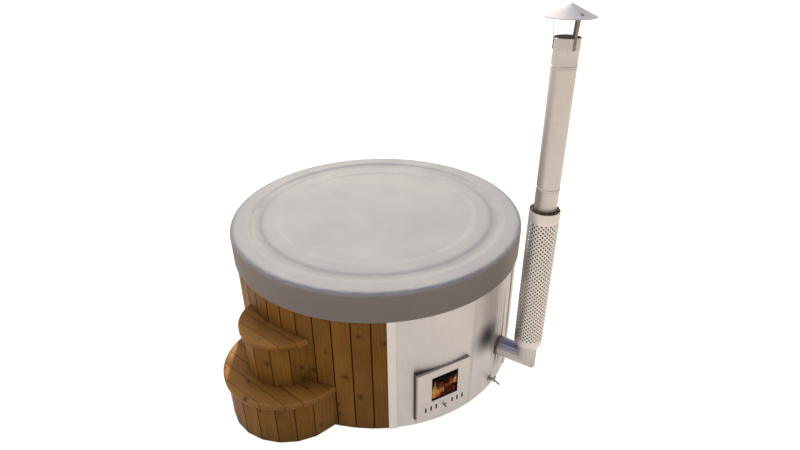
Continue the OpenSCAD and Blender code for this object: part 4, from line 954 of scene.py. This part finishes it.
def bent_strip():
    """The strap's strip with its bends and its thickness, on the +X side of the origin."""
    strap = start_from(bpy.ops.mesh.primitive_plane_add, "strap_pattern", size=1)
    for v in strap.data.vertices:
        v.co = Vector((STRAP_IN + STRAP_SHEET, v.co.x * STRAP_W,
                       STRAP_LOW if v.co.y < 0 else FLUE_END)) * MM
    bpy.ops.object.mode_set(mode="EDIT")
    for out, up in STRAP_PULLS:
        pull_top_edge(strap, out, up)
    bpy.ops.mesh.select_all(action="SELECT")
    bpy.ops.mesh.normals_make_consistent(inside=False)
    bpy.ops.object.mode_set(mode="OBJECT")
    if max(strap.data.polygons, key=lambda face: face.area).normal.x < 0:
        strap.data.flip_normals()
    apply_modifier(strap, "SOLIDIFY", thickness=STRAP_SHEET * MM, offset=-1)
    apply_modifier(strap, "BEVEL", width=0.5 * MM, segments=2, limit_method="ANGLE")
    return strap


print("straps lean out to", STRAP_OUT, "mm and up to", round(STRAP_TOP), "mm")

# %% Rivet the straps
STRAP_TURNS = (-101, 19, 139)
RIVET_HEIGHTS, TAB_RIVET = (2290, 2316), 10


def strap_rivet(radius, out, place):
    """A domed rivet head, flattened from a sphere, facing out or down."""
    head = start_from(bpy.ops.mesh.primitive_uv_sphere_add, "rivet_head", segments=14,
                      ring_count=8, radius=radius * MM)
    for v in head.data.vertices:
        v.co.z *= 0.5
    head.data.transform(Matrix.Translation(Vector(place) * MM) @ out)
    return head


def riveted_strap():
    """The bent strip joined with its three rivet heads."""
    strap = bent_strip()
    outward = Matrix.Rotation(math.radians(90), 4, "Y")
    heads = [strap_rivet(3.2, outward, (STRAP_IN + STRAP_SHEET, 0, z)) for z in RIVET_HEIGHTS]
    tab_x = STRAP_OUT + TAB_RIVET
    heads.append(strap_rivet(3.4, Matrix.Rotation(math.atan(CAP_SLOPE), 4, "Y"),
                             (tab_x, 0, under_cone(tab_x, -0.3))))
    only(strap)
    for head in heads:
        head.select_set(True)
    bpy.ops.object.join()
    bpy.ops.object.shade_smooth_by_angle(angle=math.radians(35))
    return strap


pattern = riveted_strap()
for number, turn in enumerate(STRAP_TURNS, start=1):
    strap = bpy.data.objects.new("cap_strap_" + str(number), pattern.data.copy())
    scene.collection.objects.link(strap)
    strap.data.transform(Matrix.Translation(FLUE) @ Matrix.Rotation(math.radians(turn), 4, "Z"))
    stand_for(strap, strap_strip, "cap_straps")
print(len(STRAP_TURNS), "straps, each", len(pattern.data.polygons), "faces")
bpy.data.objects.remove(pattern)

# %% [markdown]
# ## The fire
#
# Behind the glass three split logs burn on the grate over a bed of embers, with thin
# sticks of kindling in front of them. The wood is a cylinder roughened by slow noise
# along its length, burnt to charcoal that glows in its cracks. Flames have no surface
# of their own; they are stood in for by thin curled leaves that give light, golden in
# the body, deep red behind, and fading out at the rim and tip.

# %% Charcoal finish
CHAR_CELL_MM = 14


def burning_bark(name):
    """Spruce burnt to charcoal: matt, black-brown, glowing in its cracks low in the fire."""
    material, tree = start_finish(name)
    place = add_node(tree, "TexCoord").outputs["Object"]
    long_way = add_node(tree, "Mapping", {"Vector": place, "Scale": (0.35, 1, 1)})
    cracks = add_node(tree, "TexVoronoi", {"Vector": long_way, "Scale": 1000 / CHAR_CELL_MM},
                      feature="DISTANCE_TO_EDGE")
    ash = add_node(tree, "TexNoise", {"Vector": place, "Scale": 34, "Detail": 4})
    ash_share = add_node(tree, "MapRange", {"Value": ash, "From Min": 0.46, "From Max": 0.68})
    tone = add_node(tree, "Mix", {0: ash_share, 6: "#170c07", 7: "#46392c"}, data_type="RGBA")
    glow = add_node(tree, "MapRange", {"Value": cracks, "From Max": 0.16, "To Min": 1,
                                       "To Max": 0.10}, interpolation_type="SMOOTHSTEP")
    height = add_node(tree, "SeparateXYZ", {0: place}).outputs["Z"]
    low_down = add_node(tree, "MapRange", {"Value": height, "From Min": 0.13,
                                           "From Max": 0.21, "To Min": 0.34, "To Max": 0.03})
    hot = add_node(tree, "MapRange", {"Value": ash, "From Min": 0.34, "From Max": 0.58,
                                      "To Min": 1.2, "To Max": 0.2})
    heat = add_node(tree, "Math", {0: glow, 1: hot}, operation="MULTIPLY")
    placed_heat = add_node(tree, "Math", {0: heat, 1: low_down}, operation="MULTIPLY")
    looks = {"Base Color": tone, "Roughness": 0.9, "Emission Color": "#e8521c",
             "Emission Strength": placed_heat}
    return end_finish(material, looks, cracks, 0.8, 3)


bark = burning_bark("charred_spruce_log")
print("charcoal cracked into cells of", CHAR_CELL_MM, "mm")

# %% Flame finish
def flame_leaf(name):
    """Burning gas: no surface, only light, golden in the body and fading at the tip."""
    material, tree = start_finish(name)
    height, edge, warmth = (
        add_node(tree, "Attribute", attribute_name="flame_" + word).outputs["Fac"]
        for word in ("height", "edge", "warmth"))
    place = add_node(tree, "TexCoord").outputs["Object"]
    lick = stretched_noise(tree, place, (1, 1, 0.3), 110, detail=3, distortion=0.5)
    uneven = add_node(tree, "MapRange", {"Value": lick, "From Min": 0.3, "From Max": 0.7,
                                         "To Min": -0.35, "To Max": 0.35})
    heat = add_node(tree, "Math", {0: warmth, 1: uneven}, operation="ADD", use_clamp=True)
    colour = add_node(tree, "ValToRGB", {0: heat})
    ramp = colour.color_ramp
    ramp.elements[0].position, ramp.elements[0].color = 0.0, hex_colour("#4a1206")
    ramp.elements[1].position, ramp.elements[1].color = 1.0, hex_colour("#d9b072")
    ramp.elements.new(0.4).color = hex_colour("#9a4a16")
    ramp.elements.new(0.65).color = hex_colour("#bb8038")
    tip = add_node(tree, "MapRange", {"Value": height, "From Min": 0.5, "From Max": 1,
                                      "To Min": 1.0, "To Max": 0.0})
    rim = add_node(tree, "MapRange", {"Value": edge, "From Min": 0.35, "From Max": 1,
                                      "To Min": 1.0, "To Max": 0.0})
    torn = add_node(tree, "MapRange", {"Value": lick, "From Min": 0.34, "From Max": 0.5,
                                       "To Min": 0.35, "To Max": 1.0})
    soft = add_node(tree, "Math", {0: tip, 1: rim}, operation="MULTIPLY")
    share = add_node(tree, "Math", {0: soft, 1: torn}, operation="MULTIPLY")
    glow = add_node(tree, "Emission", {"Color": colour, "Strength": 1.0})
    clear = add_node(tree, "BsdfTransparent")
    leaf = add_node(tree, "MixShader", {0: share, 1: clear, 2: glow})
    add_node(tree, "OutputMaterial", {"Surface": leaf})
    return material


flame = flame_leaf("wood_flame")
print("flame finish of", len(flame.node_tree.nodes), "nodes")

# %% Logs and sticks
LOG_R, LOG_CUTS, LOG_GAP = 38.0, 16, 82
fire_low, fire_high = (Vector(c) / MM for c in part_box("firewood"))


def rough_log(name, start, stop, radius, seed):
    """A piece of firewood between two points: a cylinder cut in rings and worn by noise."""
    length = (stop - start).length
    log = start_from(bpy.ops.mesh.primitive_cylinder_add, name, vertices=36,
                     radius=radius * MM, depth=length * MM, end_fill_type="TRIFAN")
    bpy.ops.object.mode_set(mode="EDIT")
    for cut in range(1, LOG_CUTS):
        bpy.ops.mesh.select_all(action="SELECT")
        bpy.ops.mesh.bisect(plane_co=(0, 0, (cut / LOG_CUTS - 0.5) * length * MM),
                            plane_no=(0, 0, 1))
    bpy.ops.object.mode_set(mode="OBJECT")
    shift = Vector((seed * 3.1, seed * 7.7, 0))
    for v in log.data.vertices:
        if Vector((v.co.x, v.co.y)).length > 1e-5:
            turn = math.atan2(v.co.y, v.co.x)
            round_it = Vector((math.cos(turn), math.sin(turn), v.co.z * 7))
            grip = noise.noise(round_it * 1.4 + shift)
            fine = noise.noise(round_it * 5 + shift)
            worn = 0.95 - 0.16 * abs(grip) - 0.06 * abs(fine)
            v.co.x *= worn
            v.co.y *= worn
    lay = (stop - start).to_track_quat("Z", "X").to_matrix().to_4x4()
    log.data.transform(Matrix.Translation((start + stop) / 2 * MM) @ lay)
    bpy.ops.object.shade_smooth_by_angle(angle=math.radians(50))
    return log


front_y, lying_z = fire_low.y + LOG_R, fire_low.z + LOG_R
LOG_PLACES = ((front_y, lying_z), (front_y + LOG_GAP, lying_z),
              (front_y + LOG_GAP / 2, fire_high.z - LOG_R))
for number, (y, z) in enumerate(LOG_PLACES, start=1):
    log = rough_log("split_log_" + str(number), Vector((fire_low.x + 2, y, z)),
                    Vector((fire_high.x - 2, y, z)), LOG_R, number)
    stand_for(log, bark, "firewood")

# kindling that has slid forward lies in the stove's mouth and leans on the grate
KINDLING = [((-192, -906, 87), (72, -900, 90), 25), ((-186, -900, 134), (78, -914, 137), 22),
            ((-118, -950, 96), (-88, -868, 262), 15), ((66, -948, 92), (34, -870, 250), 14)]
for number, (start, stop, radius) in enumerate(KINDLING, start=1):
    stick = rough_log("kindling_" + str(number), Vector(start), Vector(stop), radius,
                      number + 10)
    add_to(stick, bark, "firewood")
print(len(LOG_PLACES), "logs and", len(KINDLING), "sticks of kindling")

# %% Ember bed
EMBER_LOW, EMBER_RISE, EMBER_WAVES = 5, 9, 22
grate_low, grate_high = (Vector(c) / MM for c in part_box("fire_grate"))
span = (grate_high - grate_low) * 0.98
embers = start_from(bpy.ops.mesh.primitive_grid_add, "ember_bed", x_subdivisions=60,
                    y_subdivisions=50, size=1)
for v in embers.data.vertices:
    edge = min(0.5 - abs(v.co.x), 0.5 - abs(v.co.y)) * 2
    wave = noise.noise(Vector((v.co.x * EMBER_WAVES, v.co.y * EMBER_WAVES, 3)))
    lump = abs(wave) * EMBER_RISE + EMBER_LOW
    v.co = Vector(((grate_low.x + grate_high.x) / 2 + v.co.x * span.x,
                   (grate_low.y + grate_high.y) / 2 + v.co.y * span.y,
                   grate_high.z + 0.4 + lump * min(1, edge * 6))) * MM
bpy.ops.object.shade_smooth_by_angle(angle=math.radians(60))
add_to(embers, bark, "firewood")
print("ember bed", round(span.x), "by", round(span.y), "mm")

# %% Tongues of flame
WINDOW_LEFT, WINDOW_LOW, WINDOW_W, WINDOW_H, DOOR_FACE = -149.5, 196.5, 193, 191, -1000
draw = random.Random(5)


def behind_window(across, high, depth):
    """The point that the photograph's view shows at a share of the window, this far back."""
    at_glass = Vector((WINDOW_LEFT + across * WINDOW_W, DOOR_FACE, WINDOW_LOW + high * WINDOW_H))
    ray = at_glass - CAMERA_PLACE / MM
    return at_glass + ray * (depth / ray.y)


def flame_tongue(number, foot, height, width, lean, warmth):
    """A leaf of flame: a narrow grid that swells, narrows to a tip and curls."""
    leaf = start_from(bpy.ops.mesh.primitive_grid_add, "flame_" + str(number),
                      x_subdivisions=8, y_subdivisions=18, size=1)
    heights, edges, warmths = (leaf.data.attributes.new("flame_" + word, "FLOAT", "POINT")
                               for word in ("height", "edge", "warmth"))
    phase = draw.uniform(0, 6.28)
    for v in leaf.data.vertices:
        up, out = v.co.y + 0.5, v.co.x * 2
        heights.data[v.index].value = up
        edges.data[v.index].value = abs(out)
        warmths.data[v.index].value = warmth
        swell = 0.55 + 1.3 * up if up < 0.3 else 0.94 * ((1 - up) / 0.7) ** 0.8 + 0.02
        side = v.co.x * width * swell + math.sin(up * 6 + phase) * width * 0.16 * up
        bend = math.cos(out) * width * 0.16 + math.sin(up * 4 + phase) * width * 0.1
        v.co = (foot + Vector((side + lean * up * up, bend, up * height))) * MM
    bpy.ops.object.shade_smooth()
    add_to(leaf, flame, "firewood")


# share across and up the window, depth, height, width, lean, warmth from red to gold
FLAMES = [(0.14, 0.30, 84, 100, 70, 4, 0.05), (0.40, 0.34, 84, 74, 70, -4, 0.02),
          (0.76, 0.40, 84, 74, 60, 4, 0.10), (0.58, 0.34, 82, 44, 40, 0, 0.12),
          (0.02, 0.14, 58, 92, 36, 3, 0.60), (0.11, 0.10, 54, 108, 40, 2, 0.75),
          (0.20, 0.12, 60, 96, 42, 3, 0.85), (0.28, 0.16, 56, 88, 36, 0, 0.75),
          (0.35, 0.24, 62, 60, 22, 4, 0.55), (0.12, 0.52, 66, 74, 13, 1, 0.95),
          (0.44, 0.24, 50, 62, 12, 1, 0.95), (0.25, 0.04, 52, 40, 60, 0, 0.35),
          (0.80, 0.42, 62, 40, 44, 6, 0.50), (0.90, 0.40, 58, 96, 30, 5, 0.72),
          (0.96, 0.42, 64, 112, 26, 4, 0.85), (0.70, 0.42, 60, 24, 40, 8, 0.45)]
for number, (across, high, depth, *form) in enumerate(FLAMES, start=1):
    flame_tongue(number, behind_window(across, high, depth), *form)
print(len(FLAMES), "tongues of flame")

# %% [markdown]
# ## Behind the surface
#
# The rest is seen only from below, through the open door, or when the model is taken
# apart: joists and studs of spruce, a birch plywood floor and hoops, foam, the black
# steel of the firebox, cast iron bars, a glass-fibre seal and the glass itself. Each
# still gets the finish of what it is. These are simple shapes that the CAD already
# has right, so the nodes keep their meshes, and the patterns run on object
# coordinates along the axis that the timber was sawn.

# %% Timber and plywood finishes
VENEER_MM = 1.4
SAW_MARKS_PER_M = 420


def sawn_spruce(name, early, late, stretch):
    """Rough-sawn spruce: matt, fuzzy, with streaks along one axis."""
    material, tree = start_finish(name)
    place = add_node(tree, "TexCoord").outputs["Object"]
    rings = stretched_noise(tree, place, stretch, 1000 / RING_MM, detail=4, roughness=0.6)
    saw = stretched_noise(tree, place, stretch, SAW_MARKS_PER_M, detail=2)
    share = add_node(tree, "MapRange", {"Value": rings, "From Min": 0.36, "From Max": 0.64})
    colour = add_node(tree, "Mix", {0: share, 6: early, 7: late}, data_type="RGBA")
    looks = {"Base Color": colour, "Roughness": 0.8, "IOR": 1.5}
    return end_finish(material, looks, saw, 0.4, 0.6)


def birch_ply(name):
    """Birch plywood: pale faces with slow figure, and dark glue lines at the edge."""
    material, tree = start_finish(name)
    place = add_node(tree, "TexCoord").outputs["Object"]
    figure = stretched_noise(tree, place, (0.3, 1, 1), 26, detail=3, distortion=0.5)
    colour = add_node(tree, "Mix", {0: figure, 6: "#cba878", 7: "#a98352"}, data_type="RGBA")
    # a wave repeats every 2 pi / 20 of its unit, so this draws the glue lines 2 pi times as
    # far apart as the veneers are thick, because the real ones are too fine to show
    veneers = add_node(tree, "TexWave", {"Vector": place, "Scale": 1000 / VENEER_MM / 20},
                       bands_direction="Z", wave_profile="SAW")
    facing = add_node(tree, "NewGeometry").outputs["Normal"]
    up_or_down = add_node(tree, "SeparateXYZ", {0: facing}).outputs["Z"]
    flat = add_node(tree, "Math", {0: up_or_down}, operation="ABSOLUTE")
    edge_share = add_node(tree, "MapRange", {"Value": flat, "From Min": 0.3, "From Max": 0.5,
                                             "To Min": 0.45, "To Max": 0.0})
    line_share = add_node(tree, "Math", {0: veneers.outputs["Fac"], 1: edge_share},
                          operation="MULTIPLY")
    lined = add_node(tree, "Mix", {0: line_share, 6: colour, 7: "#6b4a2b"}, data_type="RGBA")
    surface = add_node(tree, "BsdfPrincipled", {"Base Color": lined, "Roughness": 0.6,
                                                "IOR": 1.5})
    add_node(tree, "OutputMaterial", {"Surface": surface})
    return material


finish_nodes(sawn_spruce("sawn_spruce_joists", "#c9a271", "#a87a48", (0.06, 1, 1)),
             "base_joists", "cladding_frame")
finish_nodes(sawn_spruce("sawn_spruce_studs", "#c6a06e", "#a57846", (1, 1, 0.06)), "wall_studs")
finish_nodes(sawn_spruce("stained_step_frame", "#7a5634", "#5a3d22", (1, 1, 0.1)), "step_frames")
finish_nodes(birch_ply("birch_plywood"), "base_board", "wall_hoops")
print("glue lines drawn", round(2 * math.pi * VENEER_MM, 1), "mm apart")

# %% [markdown]
# ## Foam, soot, iron, seal and plastic
#
# Soot covers everything the flames reach: it is nearly black and quite matt, with a
# browner, thinner film where the fire burns hottest. The grate is cast iron, the door
# seal a braided glass-fibre rope, and the drain pipe a plain grey plastic. All of
# these are bodies of small grains in two tones, as foam and the fire-proof board are,
# so one function makes them from the size of the grains. Real ones are mostly finer than
# a millimetre, and are drawn 2.5 to 9 mm wide so that they show.

# %% Grained finishes
def grained(name, colour, speck, grain_mm, roughness, relief_mm, metallic=0.0):
    """A cast, foamed or felted body: two tones of one colour in grains, with their relief."""
    material, tree = start_finish(name)
    place = add_node(tree, "TexCoord").outputs["Object"]
    grains = add_node(tree, "TexVoronoi", {"Vector": place, "Scale": 1000 / grain_mm})
    slow = add_node(tree, "TexNoise", {"Vector": place, "Scale": 9, "Detail": 5,
                                       "Roughness": 0.6})
    patch = add_node(tree, "MapRange", {"Value": slow, "From Min": 0.38, "From Max": 0.66,
                                        "To Max": 0.35})
    dots = add_node(tree, "MapRange", {"Value": grains, "From Min": 0.15, "From Max": 0.75,
                                       "To Max": 0.5})
    share = add_node(tree, "Math", {0: patch, 1: dots}, operation="ADD", use_clamp=True)
    tone = add_node(tree, "Mix", {0: share, 6: colour, 7: speck}, data_type="RGBA")
    looks = {"Base Color": tone, "Roughness": roughness, "Metallic": metallic}
    return end_finish(material, looks, grains, 0.6, relief_mm)


finish_nodes(grained("polyurethane_foam", "#d9c98f", "#bfa962", 3, 0.9, 0.8),
             "floor_foam", "wall_foam", "lid_foam")
finish_nodes(grained("laminate_rib", "#8f8f88", "#6f6f69", 6, 0.55, 0.4), "bench_ribs")
finish_nodes(grained("calcium_silicate_board", "#c8c3b8", "#a8a296", 2.5, 0.9, 0.3),
             "hearth_board")
finish_nodes(grained("sooted_steel", "#14110f", "#3a2c20", 7, 0.85, 0.5), "firebox")
finish_nodes(grained("sooted_front_plate", "#1a1613", "#2f2620", 6, 0.8, 0.4),
             "stove_front_plate", "door_liner")
finish_nodes(grained("cast_iron_grate", "#2a2624", "#4a3a30", 3, 0.7, 0.5, metallic=0.6),
             "fire_grate")
finish_nodes(grained("glass_fibre_rope", "#b9b2a2", "#6d665b", 2.5, 0.95, 1.2), "door_seal")
finish_nodes(grained("grey_drain_plastic", "#7d8084", "#6a6d71", 9, 0.4, 0.1), "drain_pipe")
finish_nodes(grained("silicone_gland", "#ece8e3", "#dcd7d1", 4, 0.6, 0.2), "flue_gland")
print(len(bpy.data.materials), "materials, the CAD's own included")

# %% [markdown]
# ## The stove's glass
#
# The window is a pane of glass ceramic, which stands the heat without breaking. It is
# clear, with a faint gloss, and a dark matt film covers it more and more towards its
# top. A thin pane bends light very little, so see-through and gloss are mixed by hand,
# which is also quicker to render than a glass shader.

# %% Stove glass
FILM_LOW, FILM_HIGH = 0.30, 0.385


def stove_glass(name):
    """Ceramic stove glass: clear, with a dark matt film that grows towards its top."""
    material, tree = start_finish(name)
    place = add_node(tree, "TexCoord").outputs["Object"]
    height = add_node(tree, "SeparateXYZ", {0: place}).outputs["Z"]
    film_noise = add_node(tree, "TexNoise", {"Vector": place, "Scale": 14, "Detail": 4})
    high = add_node(tree, "MapRange", {"Value": height, "From Min": FILM_LOW,
                                       "From Max": FILM_HIGH}, interpolation_type="SMOOTHSTEP")
    film_patches = add_node(tree, "MapRange", {"Value": film_noise, "From Min": 0.35, "From Max": 0.65,
                                        "To Min": 0.7, "To Max": 1})
    tint_share = add_node(tree, "Math", {0: high, 1: film_patches}, operation="MULTIPLY")
    share = add_node(tree, "MapRange", {"Value": tint_share, "To Min": 0.02, "To Max": 0.9})
    clear = add_node(tree, "BsdfTransparent", {"Color": "#f2ece2"})
    dark_film = add_node(tree, "BsdfDiffuse", {"Color": "#120e0b"})
    body = add_node(tree, "MixShader", {0: share, 1: clear, 2: dark_film})
    gloss = add_node(tree, "BsdfGlossy", {"Color": "#ffffff", "Roughness": 0.06})
    facing = add_node(tree, "Fresnel", {"IOR": 1.06})
    surface = add_node(tree, "MixShader", {0: facing, 1: body, 2: gloss})
    add_node(tree, "OutputMaterial", {"Surface": surface})
    return material


finish_nodes(stove_glass("ceramic_stove_glass"), "door_glass")
print("finished", sum(1 for n in frame["nodes"].values() if not n.hide_render), "plain nodes")

# %% [markdown]
# ## Print the size
#
# Dressing a model must not make it grow. The CAD box and the box of everything now in
# the scene are printed side by side, so that they can be compared after each run.

# %% Print both boxes
made_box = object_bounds()
boxes = {"cad": [[float(v) for v in corner] for corner in cad_box],
         "visual": [[float(v) for v in corner] for corner in made_box]}
for name, box in boxes.items():
    print(name, [round(v, 4) for corner in box for v in corner])
